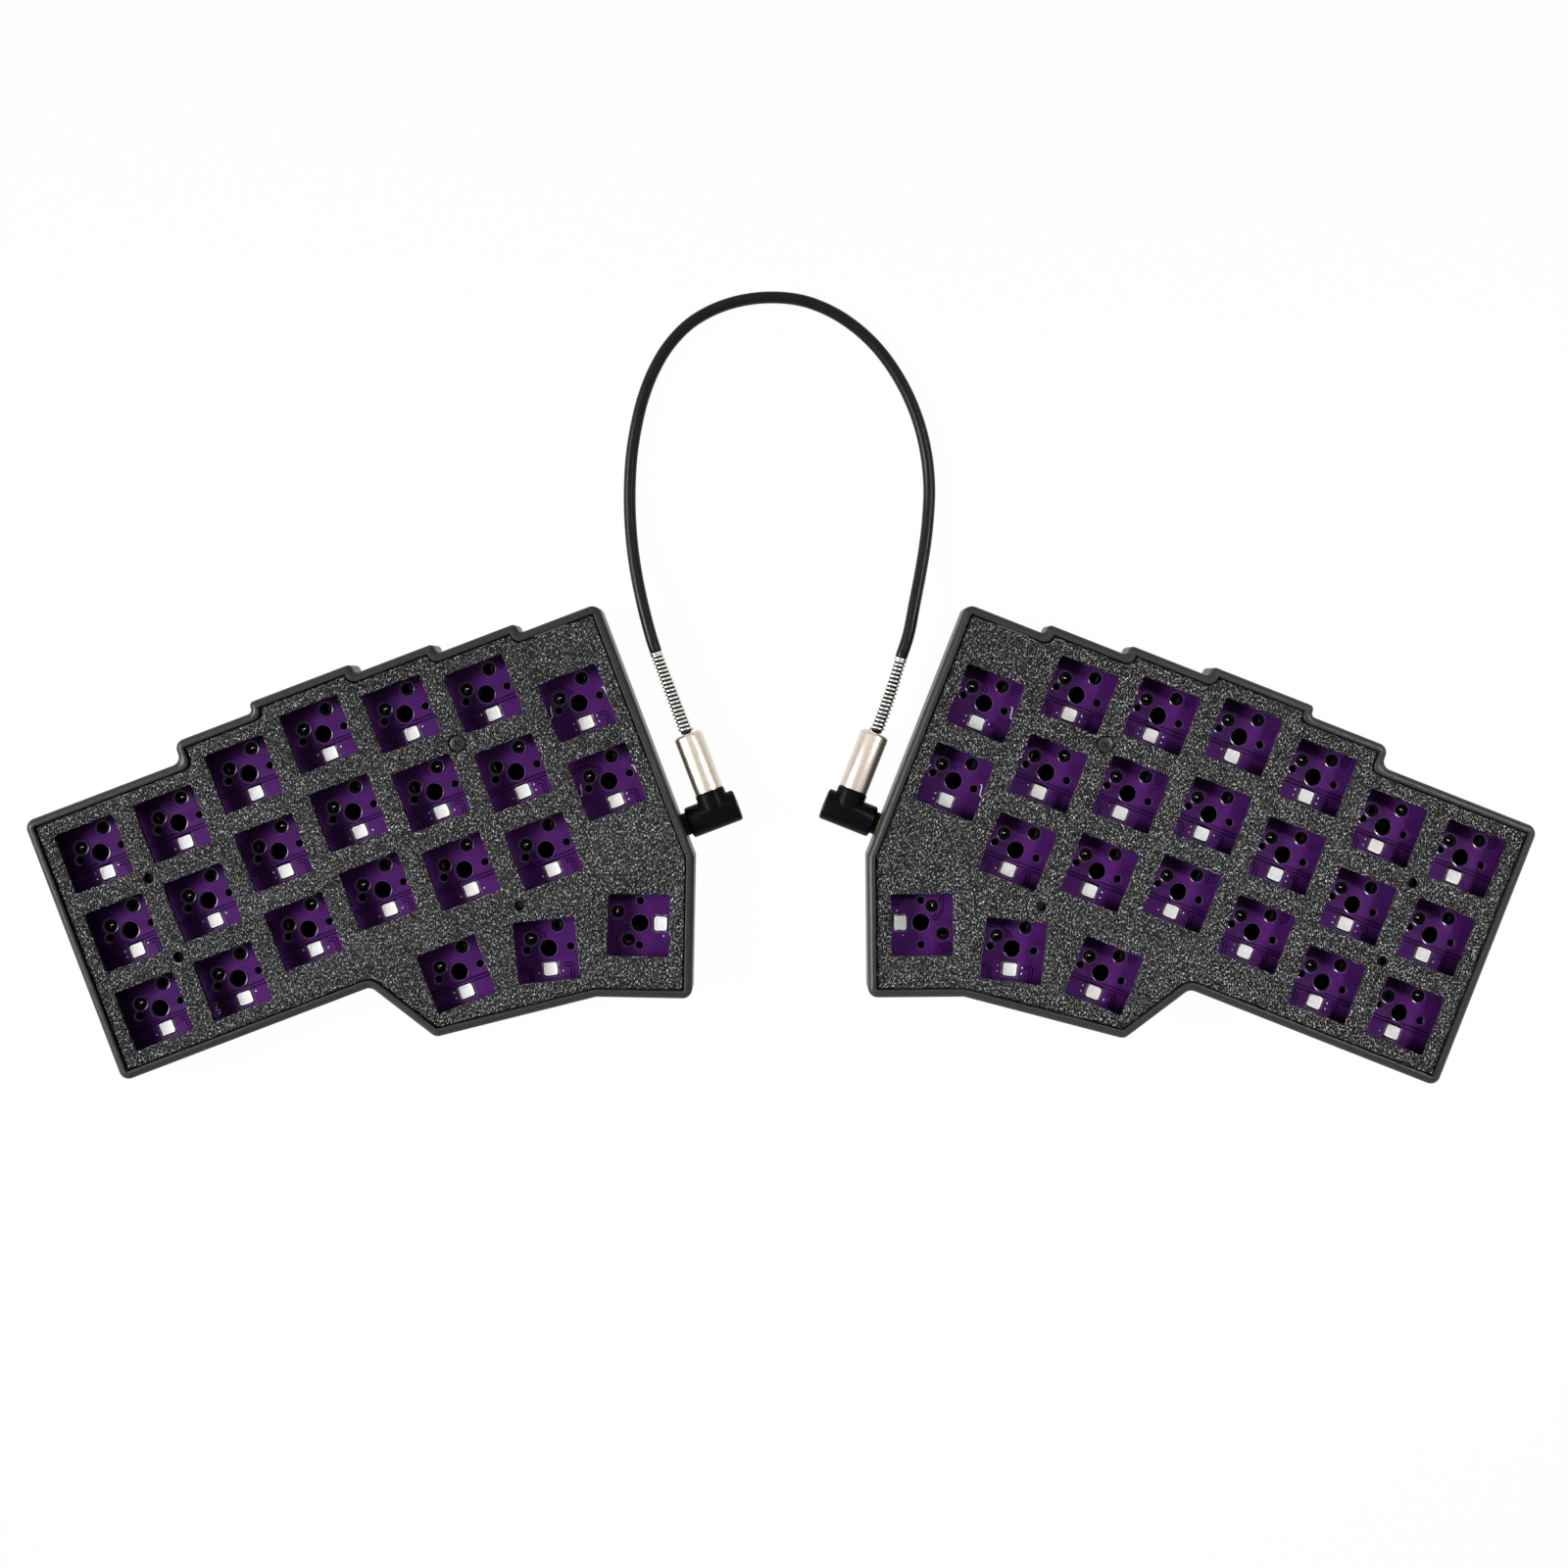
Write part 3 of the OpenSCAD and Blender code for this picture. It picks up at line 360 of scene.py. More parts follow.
def color_ramp(nt, fac, stops):
    """The colour at fac, from stops of position and colour."""
    ramp = add_node(nt, "ValToRGB", links={"Fac": fac})
    e = ramp.color_ramp.elements
    e[0].position, e[1].position = stops[0][0], stops[-1][0]
    e[0].color, e[1].color = stops[0][1] + (1,), stops[-1][1] + (1,)
    for at, color in stops[1:-1]:
        e.new(at).color = color + (1,)
    return ramp.outputs[0]


def add_bump(nt, shader, height, strength, distance):
    bump = add_node(nt, "Bump", {"Strength": strength, "Distance": distance}, {"Height": height})
    nt.links.new(bump.outputs[0], shader.inputs["Normal"])


def material(name, color, rough, metal=0.0, vary=0.15, scale=400.0, bump=0.0, bump_scale=2000.0, coat=0.0,
             spec=0.5, rough_vary=0.05):
    """A finish whose colour and roughness vary a little, with a fine bump where one is asked for."""
    mat = new_material(name)
    nt = mat.node_tree
    at = add_node(nt, "TexCoord").outputs["Object"]
    noise = add_node(nt, "TexNoise", {"Scale": scale, "Detail": 3}, {"Vector": at}).outputs["Fac"]
    shades = [(0.3, tuple(c * (1 - vary) for c in color)), (0.7, tuple(min(1, c * (1 + vary)) for c in color))]
    gloss = add_node(nt, "MapRange", {"To Min": max(0.02, rough - rough_vary), "To Max": rough + rough_vary},
                     {"Value": noise})
    shader = add_node(nt, "BsdfPrincipled", {"Metallic": metal, "Specular IOR Level": spec, "Coat Weight": coat},
                      {"Base Color": color_ramp(nt, noise, shades), "Roughness": gloss.outputs[0]})
    add_node(nt, "OutputMaterial", links={"Surface": shader.outputs[0]})
    if bump:
        fine = add_node(nt, "TexNoise", {"Scale": bump_scale, "Detail": 2}, {"Vector": at})
        add_bump(nt, shader, fine.outputs["Fac"], bump, 0.0001)
    return mat


GRAIN_SCALE, GRAIN_SHAPE, GRAIN_BUMP, GRAIN_HEIGHT = 3900, (1, 0.55, 1), 0.8, 0.0003


def pebble(name, stops, rough, spec):
    """Black coating with a fine pebble texture: raised grains, longer than wide, that catch the light through the
    bump; the colour stops paint highlights on the grains and shade in the pits.
    """
    mat = material(name, stops[0][1], rough, spec=spec)
    nt = mat.node_tree
    shader = next(n for n in nt.nodes if n.type == "BSDF_PRINCIPLED")
    place = next(n for n in nt.nodes if n.type == "TEX_COORD").outputs["Object"]
    at = add_node(nt, "Mapping", {"Scale": GRAIN_SHAPE}, {"Vector": place}).outputs[0]
    grain = add_node(nt, "TexNoise", {"Scale": GRAIN_SCALE, "Detail": 1.0, "Distortion": 0.5}, {"Vector": at})
    nt.links.new(color_ramp(nt, grain.outputs["Fac"], stops), shader.inputs["Base Color"])
    add_bump(nt, shader, grain.outputs["Fac"], GRAIN_BUMP, GRAIN_HEIGHT)
    return mat


# Colour stops of the plate's grain: the near-black pits are painted shade and the light grey flecks are painted
# highlights on a black coating
GRAIN_GLINT_AND_PIT_SHADE = [(0.44, (0.002, 0.002, 0.0022)), (0.54, (0.016, 0.016, 0.016)),
         (0.62, (0.12, 0.12, 0.12)), (0.70, (0.62, 0.62, 0.62))]
M = {
    "case": material("case_satin", (0.020, 0.021, 0.023), 0.38, vary=0.2, scale=900, bump=0.2, bump_scale=5000,
                     spec=0.32),
    # painted shade: the tray's inner floor is the case's own plastic, given a darker and duller finish for the shadow
    # it lies in
    "inside": material("case_inside_painted_shade", (0.003, 0.003, 0.003), 0.7, vary=0.2, scale=900, spec=0.02),
    "plate": pebble("plate_pebble_painted_light", GRAIN_GLINT_AND_PIT_SHADE, 0.4, 0.08),
    "board": material("board_violet", (0.057, 0.009, 0.098), 0.45, vary=0.12, scale=300, bump=0.08, bump_scale=3000,
                      spec=0.06),
    "edge": material("board_edge", (0.13, 0.09, 0.17), 0.4, vary=0.2, scale=2500),
    "trace": material("board_gap", (0.007, 0.0015, 0.016), 0.4, vary=0.1, spec=0.05),
    "ring": material("board_ring", (0.057, 0.009, 0.098), 0.17, vary=0.1, spec=0.28),
    "silk": material("silkscreen_white", (0.8, 0.8, 0.8), 0.6, vary=0.08, scale=3000),
    "black": material("black_plastic", (0.0025, 0.0025, 0.0025), 0.45, vary=0.2, bump=0.1, spec=0.03),
    "chip": material("chip_black", (0.02, 0.02, 0.022), 0.55, vary=0.25, scale=1500, bump=0.15, bump_scale=6000),
    # painted shade: the socket contacts are bright metal, given a dark colour for the shade they lie in under the
    # board
    "contact": material("contact_strip", (0.07, 0.07, 0.065), 0.5, metal=1.0, vary=0.1, scale=1200),
    "tin": material("tinned_metal", (0.72, 0.72, 0.72), 0.25, metal=1.0, vary=0.08, scale=1200),
    "gold": material("gold_plating", (0.80, 0.56, 0.25), 0.22, metal=1.0, vary=0.08, scale=800),
    "screw": material("screw_black", (0.03, 0.03, 0.032), 0.35, metal=0.6, vary=0.2, scale=1500),
    "lamp": material("lamp_case", (0.88, 0.865, 0.855), 0.45, vary=0.05, scale=1500),
    "lens": material("lamp_lens", (0.90, 0.88, 0.865), 0.18, vary=0.05, scale=900, coat=0.4),
    "ceramic": material("capacitor_ceramic", (0.36, 0.25, 0.15), 0.5, vary=0.15, scale=1500),
    "rubber": material("foot_rubber", (0.018, 0.018, 0.018), 0.75, vary=0.25, scale=900, bump=0.3, bump_scale=4000),
    "elbow": material("elbow_satin", (0.0025, 0.0025, 0.0027), 0.33, vary=0.2, scale=900, bump=0.05, bump_scale=2500,
                      spec=0.05),
    "sleeve": material("sleeve_polished", (0.73, 0.648, 0.55), 0.3, metal=1.0, vary=0.04, scale=700, rough_vary=0.04),
    "spring": material("spring_steel", (0.94, 0.925, 0.87), 0.2, metal=1.0, vary=0.08, scale=1500),
    "cord": material("cord_jacket", (0.0055, 0.0056, 0.0058), 0.33, vary=0.2, scale=500, bump=0.06,
                     bump_scale=3500, spec=0.2),
}

# Camera: straight down, in millimetres and in pixels of the photo
AXIS = (-1.53, 35.97)
CAM_Z = 517.6
SENSOR = 36.0
PHOTO_PX, FOCAL_PX, SHIFT_PX = 1600, 2278, (10, -100)
cam = bpy.data.cameras.new("camera")
cam.sensor_width, cam.lens = SENSOR, SENSOR * FOCAL_PX / PHOTO_PX
cam.shift_x, cam.shift_y = SHIFT_PX[0] / PHOTO_PX, SHIFT_PX[1] / PHOTO_PX
cam.clip_start, cam.clip_end = 0.01, 10
camera = bpy.data.objects.new("camera", cam)
camera.location = (AXIS[0] * MM, AXIS[1] * MM, CAM_Z * MM)
bpy.context.scene.collection.objects.link(camera)
bpy.context.scene.camera = camera

# Cord: its free part follows the same points as the solid
ROUTE = [
    (-29.8, 47.5, 6.6), (-31.6, 54.2, 5.6), (-33.1, 61, 4.3), (-34.2, 68, 3.1), (-34.8, 75, 2.2), (-34.9, 82, 1.7),
    (-34.5, 89, 1.5), (-33.5, 95.6, 1.5), (-31.9, 102.3, 1.5), (-29.4, 108.8, 1.5), (-25.9, 114.7, 1.5),
    (-21.1, 119.7, 1.5), (-15.1, 123.2, 1.5), (-8.5, 125.2, 1.5), (-1.6, 125.8, 1.5), (5.2, 125, 1.5),
    (11.7, 122.5, 1.5), (17.5, 118.7, 1.5), (22.5, 113.9, 1.5), (26.6, 108.3, 1.5), (29.8, 102.3, 1.5),
    (32.2, 95.8, 1.5), (33.7, 89, 1.5), (34.3, 82, 1.7), (34, 75, 2.2), (33.2, 68.2, 3.1), (32, 61.4, 4.3),
    (30.6, 54.5, 5.6), (29.2, 47.7, 6.6),
]
CORE_AT = (0.02, 0.25, 0.5, 0.75, 0.985, 1)
CORE_RADII = [CORE_D / 2, CORE_D / 2, 1.28, 1.24, 1.2, 1.15, 1.1]
CORD_STEPS, CORD_SIDES, CORD_END = 6, 16, 0.97
TURN_L = math.pi * (COIL_D - WIRE)
CLIMB = math.atan(COIL_PITCH / TURN_L)
ENTRY = (WIRE * (1 - math.sin(CLIMB)), WIRE + WIRE * math.cos(CLIMB))


def coil_length(side):
    return 2 * ENTRY[1] + TURNS[side] * COIL_PITCH


def coil_axis(side, y):
    """The spring's axis at height y, in the plug's frame."""
    return np.array([SLEEVE_X + BEND[side] * (y / coil_length(side)) ** 2, COIL_Y + y, 0])


def seated(side, p):
    """A point of the plug's frame, in the key frame of its half."""
    return (p[0] + INNER + SEAT[side], p[1] + JACK_Y, p[2] + JACK_Z)


def core(side):
    """The cord's core, from the spigot through the sleeve and the spring, in mm of the row frame."""
    pts = [(SLEEVE_X, COLLAR_TOP + SPIGOT_L, 0), (SLEEVE_X, COIL_Y, 0)]
    pts += [coil_axis(side, k * coil_length(side)) for k in CORE_AT]
    return [p / MM for p in to_row(side, [seated(side, p) for p in pts])]


def spline(pts, per):
    """A Catmull-Rom curve through pts."""
    p = [np.array(q, float) for q in pts]
    p = [2 * p[0] - p[1]] + p + [2 * p[-1] - p[-2]]
    out = []
    for i in range(1, len(p) - 2):
        for k in range(per):
            t = k / per
            out.append(0.5 * (2 * p[i] + (p[i + 1] - p[i - 1]) * t
                              + (2 * p[i - 1] - 5 * p[i] + 4 * p[i + 1] - p[i + 2]) * t * t
                              + (3 * p[i] - p[i - 1] - 3 * p[i + 1] + p[i + 2]) * t ** 3))
    return out + [p[-2]]


left_core, right_core = core("left"), core("right")
free = spline([left_core[-1]] + ROUTE + [right_core[-1]], CORD_STEPS)
cord_path = left_core[:-1] + free + right_core[::-1][1:]
cord_radii = CORE_RADII + [CORD_D / 2] * len(free) + CORE_RADII[::-1]
cord_radii[len(CORE_RADII)] = cord_radii[-len(CORE_RADII) - 1] = CORD_D / 2 * CORD_END
side_to = np.cross(np.gradient(np.array(cord_path), axis=0), (0, 0, 1.0))
v, f = tube(cord_path, cord_radii, side_to, CORD_SIDES)
cord = outward(mesh_object("cord", np.array(v) * MM, f, [M["cord"]]))
shade(cord, 50)
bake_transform(cord)
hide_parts("link_cord")


# One half: case, plate, board, lamps, screw and feet
FOOT_CORNERS = (0, -7, -5, -3, -1)


def make_case(side):
    """The tray with its rim, then the bosses, then the holes for screws, buttons, jack and port."""
    h = Heap()
    profile = [(1.0, 1.5), (0.55, 1.56), (0.2, 1.75), (0.03, 2.1), (0, 2.5), (0, 12.05), (0.04, 12.27),
               (0.15, 12.48), (0.36, 12.72), (0.66, 12.97), (0.9, 13.13), (1.1, 13.2), (1.25, 13.22),
               (1.62, 13.22), (1.76, 13.17), (1.83, 13.08), (WALL, 12.95), (WALL, FLOOR_TOP)]
    loft(h, [[(p[0], p[1], z) for p in outline(d)] for d, z in profile])
    case = h.object(side + "_case_shell", side, [M["case"], M["inside"]])
    c = Heap()
    for x, y in SCREWS:
        c.lathe([(0, FLOOR_TOP - 0.2), (BOSS_R - 0.1, FLOOR_TOP - 0.2), (BOSS_R, FLOOR_TOP - 0.1),
                 (BOSS_R, BOARD_Z - 0.15), (BOSS_R - 0.15, BOARD_Z), (0, BOARD_Z)], turn=moved(x, y))
    cut(case, c.object("bosses", side, []), "UNION")
    c = Heap()
    for x, y in SCREWS:
        c.lathe([(0, 0.5), (RECESS_R + 0.2, 0.5), (RECESS_R + 0.2, 1.55), (RECESS_R, 1.75), (RECESS_R, 2.7),
                 (BORE_R, 2.7), (BORE_R, 7), (0, 7)], turn=moved(x, y))
    for x in (PORT_X - BUTTON_REACH, PORT_X + BUTTON_REACH):
        c.lathe([(0, 0.5), (ACCESS_R + 0.25, 0.5), (ACCESS_R + 0.25, 1.5), (ACCESS_R, 1.75), (ACCESS_R, 4.4),
                 (0, 4.4)], turn=moved(x, BUTTON_Y))
    c.lathe([(0, -4), (2.8, -4), (2.8, -0.3), (3.1, 0), (3.1, 2), (0, 2)], n=48,
            turn=lambda p: (INNER + p[2], JACK_Y + p[1], JACK_Z - p[0]))
    ring = round_rect(PORT_W, PORT_H, PORT_ROUND, 10)
    grown = round_rect(PORT_W + 2 * PORT_FLARE, PORT_H + 2 * PORT_FLARE, PORT_ROUND + PORT_FLARE, 10)
    loft(c, [[(PORT_X + p[0], y, PORT_Z + p[1]) for p in q] for q, y in
             ((ring, FAR - 4), (ring, FAR - 0.25), (grown, FAR), (grown, FAR + 2))])
    cut(case, c.object("holes", side, []))
    # painted shade: upward faces inside the tray, on the floor and the tops of the bosses, get the darker inside
    # finish
    for f in case.data.polygons:
        if f.normal.z > 0.5 and (FLOOR_TOP - 0.3) * MM < f.center.z < (BOARD_Z + 0.5) * MM:
            f.material_index = 1
    shade(case, 32)
    return case


def make_plate(side):
    """The plate with its windows and screw holes, one of them with a seat for the screw's head."""
    loops = [[tuple(p) for p in outline(WALL + PLATE_GAP, steps=6)]]
    for k in KEYS:
        loops.append([spot(k, p, 1, False) for p in round_rect(WINDOW, WINDOW, WINDOW_ROUND)])
    for i, (x, y) in enumerate(SCREWS):
        loops.append(circle(x, y, RECESS_R if i == TOP_SCREW else 1.15))
    v, f = sheet_curve(loops, PLATE_TOP - PLATE_Z, 0.2)
    h = Heap()
    h.add([(p[0], p[1], p[2] + (PLATE_TOP + PLATE_Z) / 2) for p in v], f)
    x, y = SCREWS[TOP_SCREW]
    seat, rim = PLATE_TOP - HEAD_DEPTH, RECESS_R + 0.05
    h.lathe([(BORE_R, PLATE_Z), (rim, PLATE_Z), (rim, seat), (BORE_R, seat), (BORE_R, PLATE_Z)],
            turn=moved(x, y))
    plate = h.object(side + "_cover_plate", side, [M["plate"]])
    shade(plate, 28)
    return plate


def make_board(side):
    """The board with its holes and the notch of the jack; its cut edges have a finish of their own."""
    hand = PLACE[side][3]
    ring = [tuple(p) for p in outline(WALL + BOARD_GAP, steps=4)]
    # the jack's notch is let into the inner edge
    x0 = INNER - WALL - JACK_L - 2 * JACK_PLAY
    y0, y1 = JACK_Y - JACK_W / 2 - JACK_PLAY, JACK_Y + JACK_W / 2 + JACK_PLAY
    at = max(i for i, p in enumerate(ring) if p[0] > INNER - WALL - BOARD_GAP - 0.01 and p[1] > y1)
    xe = ring[at][0]
    ring[at + 1:at + 1] = [(xe, y1), (x0, y1), (x0, y0), (xe, y0)]
    loops = [ring]
    for k in KEYS:
        loops.append([spot(k, p, hand) for p in circle(0, 0, POST_R)])
        for s in (-1, 1):
            loops.append([spot(k, p, hand) for p in circle(s * SIDE_X, 0, SIDE_R, 18)])
        for b in BARRELS:
            loops.append([spot(k, p, hand) for p in circle(b[0], b[1], BARREL_R, 24)])
        loops.append([spot(k, (p[0], p[1] + LAMP_Y), hand)
                      for p in round_rect(LAMP_W + 2 * LAMP_PLAY, LAMP_D + 2 * LAMP_PLAY, 0.35, 3)])
    for x, y in SCREWS:
        loops.append(circle(x, y, BORE_R, 20))
    v, f = sheet_curve(loops, BOARD_TOP - BOARD_Z, 0.09)
    middle, reach = (BOARD_TOP + BOARD_Z) / 2, (BOARD_TOP - BOARD_Z) / 2 - 0.005
    v = np.array([(p[0], p[1], p[2] + middle) for p in v])
    is_wall = [abs(sum(v[i][2] for i in q) / len(q) - middle) <= reach for q in f]
    h = Heap()
    for m in (0, 1):
        h.add(v, [q for q, wall in zip(f, is_wall) if wall == m], m)
    board = h.object(side + "_circuit_board", side, [M["board"], M["edge"]])
    shade(board, 28)
    return board


SEEDS = {"left": 7, "right": 11}
STRAIGHT_KEYS = [*range(18), 20]
BRACKET_KEYS, CORNER_KEY = KEYS[18:20], KEYS[5]
VIA_SHARE, LEAF_SHARE = 0.4, 0.7
# Copper lines that only some keys have: share of the keys, points, width, gap
SOME_LINES = (
    (0.6, [(3.3, -4.0), (4.6, -4.0), (4.9, -4.3), (4.9, -8.6)], 0.42, 0.27),
    (0.45, [(5.2, 8.6), (5.2, 6.4), (4.7, 5.6), (5.4, 4.6), (6.2, 5.2), (6.2, 8.6)], 0.34, 0.22),
    (0.4, [(-8.6, -4.3), (-5.4, -4.3), (-4.5, -5.2), (-4.5, -8.6)], 0.42, 0.27),
)


def make_traces(side):
    """What the windows show on the board: gaps beside copper lines, rings, vias, contact leaves and printed marks."""
    hand = PLACE[side][3]
    rng = random.Random(SEEDS[side])
    h = Heap()
    low, top = BOARD_TOP - 0.01, BOARD_TOP + 0.012

    def strip(pts, w, m):
        for a, b in zip(pts, pts[1:]):
            d = (b - a) / np.linalg.norm(b - a)
            s = np.array([-d[1], d[0]]) * w / 2
            a, b = a - d * w / 2, b + d * w / 2
            q = [a - s, b - s, b + s, a + s]
            h.add([(p[0], p[1], z) for z in (low, top) for p in q],
                  PRISM, m)

    def line(k, pts, w, m=2):
        strip([np.array(spot(k, p, hand)) for p in pts], w, m)

    def copper(k, pts, w=0.5, gap=0.27):
        """A copper line is seen by the dark gaps along its two sides."""
        pts = [np.array(p, float) for p in pts]
        dirs = [(b - a) / np.linalg.norm(b - a) for a, b in zip(pts, pts[1:])]
        for s in (-1, 1):
            shifted = []
            for i, p in enumerate(pts):
                e, f = dirs[max(i - 1, 0)], dirs[min(i, len(dirs) - 1)]
                na, nb = np.array([-e[1], e[0]]), np.array([-f[1], f[0]])
                shifted.append(p + (na + nb) * s * (w + gap) / 2 / (1 + na @ nb))
            line(k, shifted, gap, 0)

    def via(k, p):
        x, y = spot(k, p, hand)
        h.lathe([(0, top + 0.02), (0.1, top + 0.02), (0.17, BOARD_TOP)], 12, 2, turn=moved(x, y))

    def ring(k, p, r):
        x, y = spot(k, p, hand)
        h.lathe([(r - 0.04, BOARD_TOP - 0.3), (r - 0.02, BOARD_TOP - 0.02), (r + 0.34, BOARD_TOP + 0.1),
                 (r + 0.38, BOARD_TOP + 0.1), (r + 0.42, BOARD_TOP - 0.02)], 36, 1, turn=moved(x, y))

    for i, k in enumerate(KEYS):
        ring(k, (0, 0), POST_R)
        for b in BARRELS:
            ring(k, b, BARREL_R)
        for sx in (-1, 1):
            ring(k, (sx * SIDE_X, 0), SIDE_R)
            for sy in (-1, 1):
                if rng.random() < VIA_SHARE:
                    via(k, (sx * 2.8, LAMP_Y + sy * 0.68))
        if i in STRAIGHT_KEYS:
            j = rng.choice((-0.12, 0, 0.1))
            copper(k, [(-8.6, -2.75 + j), (-2.3, -2.75 + j), (-1.9, -2.6 + j), (8.6, -2.6 + j)], 0.55)
        else:
            copper(k, [(-8.6, 5.0), (-3.2, 4.7), (-1.0, 3.1), (-1.0, 2.5)], 0.5)
        for share, pts, w, gap in SOME_LINES:
            if rng.random() < share:
                copper(k, pts, w, gap)
    for k in KEYS:
        x, y = BARRELS[rng.random() < LEAF_SHARE]
        c = [spot(k, (x + a * 0.3, y + b * 0.09 + 0.15), hand) for a, b in ((-1, -1), (1, -1), (1, 1), (-1, 1))]
        h.add([(q[0], q[1], z) for z in (BOARD_Z + 0.3, BOARD_Z + 0.5) for q in c],
              PRISM, 3)
    for k in BRACKET_KEYS:
        for s in (-1, 1):
            line(k, [(s * 6.2, 1.5), (s * 6.5, 1.3), (s * 6.8, -0.9), (s * 7.3, -1.0)], 0.22)
    for y in (-3.4, -5.0):
        line(CORNER_KEY, [(-7.2, y), (-6.5, y), (-6.5, y - 0.8), (-7.0, y - 1.0)], 0.18)
    ob = h.object(side + "_board_traces", side, [M["trace"], M["ring"], M["silk"], M["tin"]])
    shade(ob, 25)
    return ob


def make_lamps(side):
    """Lamps with a sunk lens, and the pads that hold each in its cut-out."""
    hand = PLACE[side][3]
    h = Heap()
    z1 = BOARD_TOP + 0.1
    for k in KEYS:
        def at(w, d, r, z):
            return [spot(k, (p[0], p[1] + LAMP_Y), hand) + (z,) for p in round_rect(w, d, r, 3)]
        w, d = LAMP_W, LAMP_D
        dish = at(w - 0.7, d - 0.7, 0.7, z1 - 0.06)
        loft(h, [at(w, d, 0.15, BOARD_Z - 0.2), at(w, d, 0.45, z1 - 0.12), at(w - 0.18, d - 0.18, 0.5, z1),
                 at(w - 0.5, d - 0.5, 0.6, z1), dish], 0, cap_last=False)
        loft(h, [dish, at(1.6, 1.4, 0.6, z1 - 0.04), at(0.7, 0.6, 0.25, z1 - 0.03)], 1, cap_first=False)
        for s in (-1, 1):
            c = [spot(k, (a, LAMP_Y + s * 0.9 + b), hand) for a in (-2.7, 2.7) for b in (-0.4, 0.4)]
            vv = [(p[0], p[1], z) for z in (BOARD_Z - 0.2, BOARD_Z) for p in c]
            h.add(vv, [(0, 1, 3, 2), (4, 6, 7, 5), (0, 4, 5, 1), (1, 5, 7, 3), (3, 7, 6, 2), (2, 6, 4, 0)], 2)
    ob = h.object(side + "_lamp_set", side, [M["lamp"], M["lens"], M["tin"]])
    shade(ob, 35)
    return ob


def make_screw(side):
    """The plate screw with its cross recess."""
    h = Heap()
    x, y = SCREWS[TOP_SCREW]
    z = PLATE_TOP - HEAD_DEPTH
    h.lathe([(0, 9.35), (0.85, 9.35), (1.0, 9.5), (1.0, z), (1.75, z), (1.8, z + 0.08), (1.8, z + 0.42),
             (1.66, z + 0.62), (1.3, z + 0.74), (0.7, z + 0.79), (0, z + 0.8)], 40, turn=moved(x, y))
    ob = h.object(side + "_cap_screw", side, [M["screw"]])
    a = math.radians(25)
    for t in (a, a + math.pi / 2):
        u = (math.cos(t), math.sin(t))
        q = [(-1.0, -0.26), (1.0, -0.26), (1.0, 0.26), (-1.0, 0.26)]
        c = Heap()
        loft(c, [[(x + n * (p[0] * u[0] - p[1] * u[1]), y + n * (p[0] * u[1] + p[1] * u[0]), z + up) for p in q]
                 for n, up in ((0.6, 0.2), (1, 1.2))])
        cut(ob, c.object("cross", side, []))
    shade(ob, 30)
    return ob


def make_feet(side):
    h = Heap()
    for i in FOOT_CORNERS:
        p = inset_corner(i % len(CASE), FOOT_INSET)[0]
        h.lathe([(0, 0), (2.6, 0), (3.2, 0.06), (3.65, 0.3), (3.9, 0.75), (4.0, 1.3), (4.0, 1.5), (0, 1.5)], 40,
                turn=moved(*p))
    ob = h.object(side + "_foot_set", side, [M["rubber"]])
    shade(ob, 35)
    return ob


# One plug: elbow, sleeve and strain relief
def make_elbow(side):
    def along_x(p):
        return seated(side, (p[2], p[1], -p[0]))

    def along_y(p):
        return seated(side, (SLEEVE_X + p[0], p[2], p[1]))
    h = Heap()
    r, edge, near, far = ELBOW_R, 0.55, 1.1, 1.1 + ELBOW_L
    h.lathe([(0, near), (r - edge, near), (r - 0.16, near + 0.16), (r, near + edge), (r, far - edge),
             (r - 0.16, far - 0.16), (r - edge, far), (0, far)], 64, turn=along_x)
    ob = h.object(side + "_elbow_body", side, [M["elbow"]])
    c = Heap()
    start = -0.45 if side == "left" else 0.0
    c.lathe([(0, start), (2.5, start), (2.6, start + 0.1), (2.6, 1.6), (0, 1.6)], 48, turn=along_x)
    cut(ob, c.object("neck", side, []), "UNION")
    c = Heap()
    r, top = COLLAR_R, COLLAR_TOP + SPIGOT_L
    c.lathe([(0, 0), (r, 0), (r, COLLAR_TOP - 0.3), (r - 0.3, COLLAR_TOP), (SPIGOT_R, COLLAR_TOP), (SPIGOT_R, top),
             (0, top)], 64, turn=along_y)
    cut(ob, c.object("collar", side, []), "UNION")
    c = Heap()
    dome = [(r * math.sin(a), 1.6 - r * math.cos(a)) for a in np.radians(range(0, 91, 6))]
    c.lathe(dome + [(r, 4.9), (0, 4.9)], 64,
            turn=lambda p: along_y((p[0], p[1] + 0.3, p[2])))
    cut(ob, c.object("foot", side, []), "UNION")
    mod = ob.modifiers.new("edge", "BEVEL")
    mod.width, mod.segments, mod.limit_method, mod.angle_limit = 0.00018, 3, "ANGLE", math.radians(50)
    apply_modifiers(ob)
    shade(ob, 38)
    return ob


def make_sleeve(side):
    h = Heap()
    r, bore, mouth, l = SLEEVE_R, 2.35, 0.95, SLEEVE_L
    h.lathe([(bore, 0), (r - 0.12, 0), (r, 0.12), (r, l - 0.75), (r - 0.06, l - 0.55), (r - 0.5, l - 0.1),
             (r - 0.75, l), (mouth, l), (mouth, l - 0.95), (bore, l - 0.95), (bore, 0)], 72,
            turn=lambda p: seated(side, (SLEEVE_X + p[0], COLLAR_TOP + p[2], p[1])))
    ob = h.object(side + "_sleeve_tube", side, [M["sleeve"]])
    shade(ob, 30)
    return ob


TURN_STEPS, END_TURNS, END_STEPS = 24, 1.4, 34


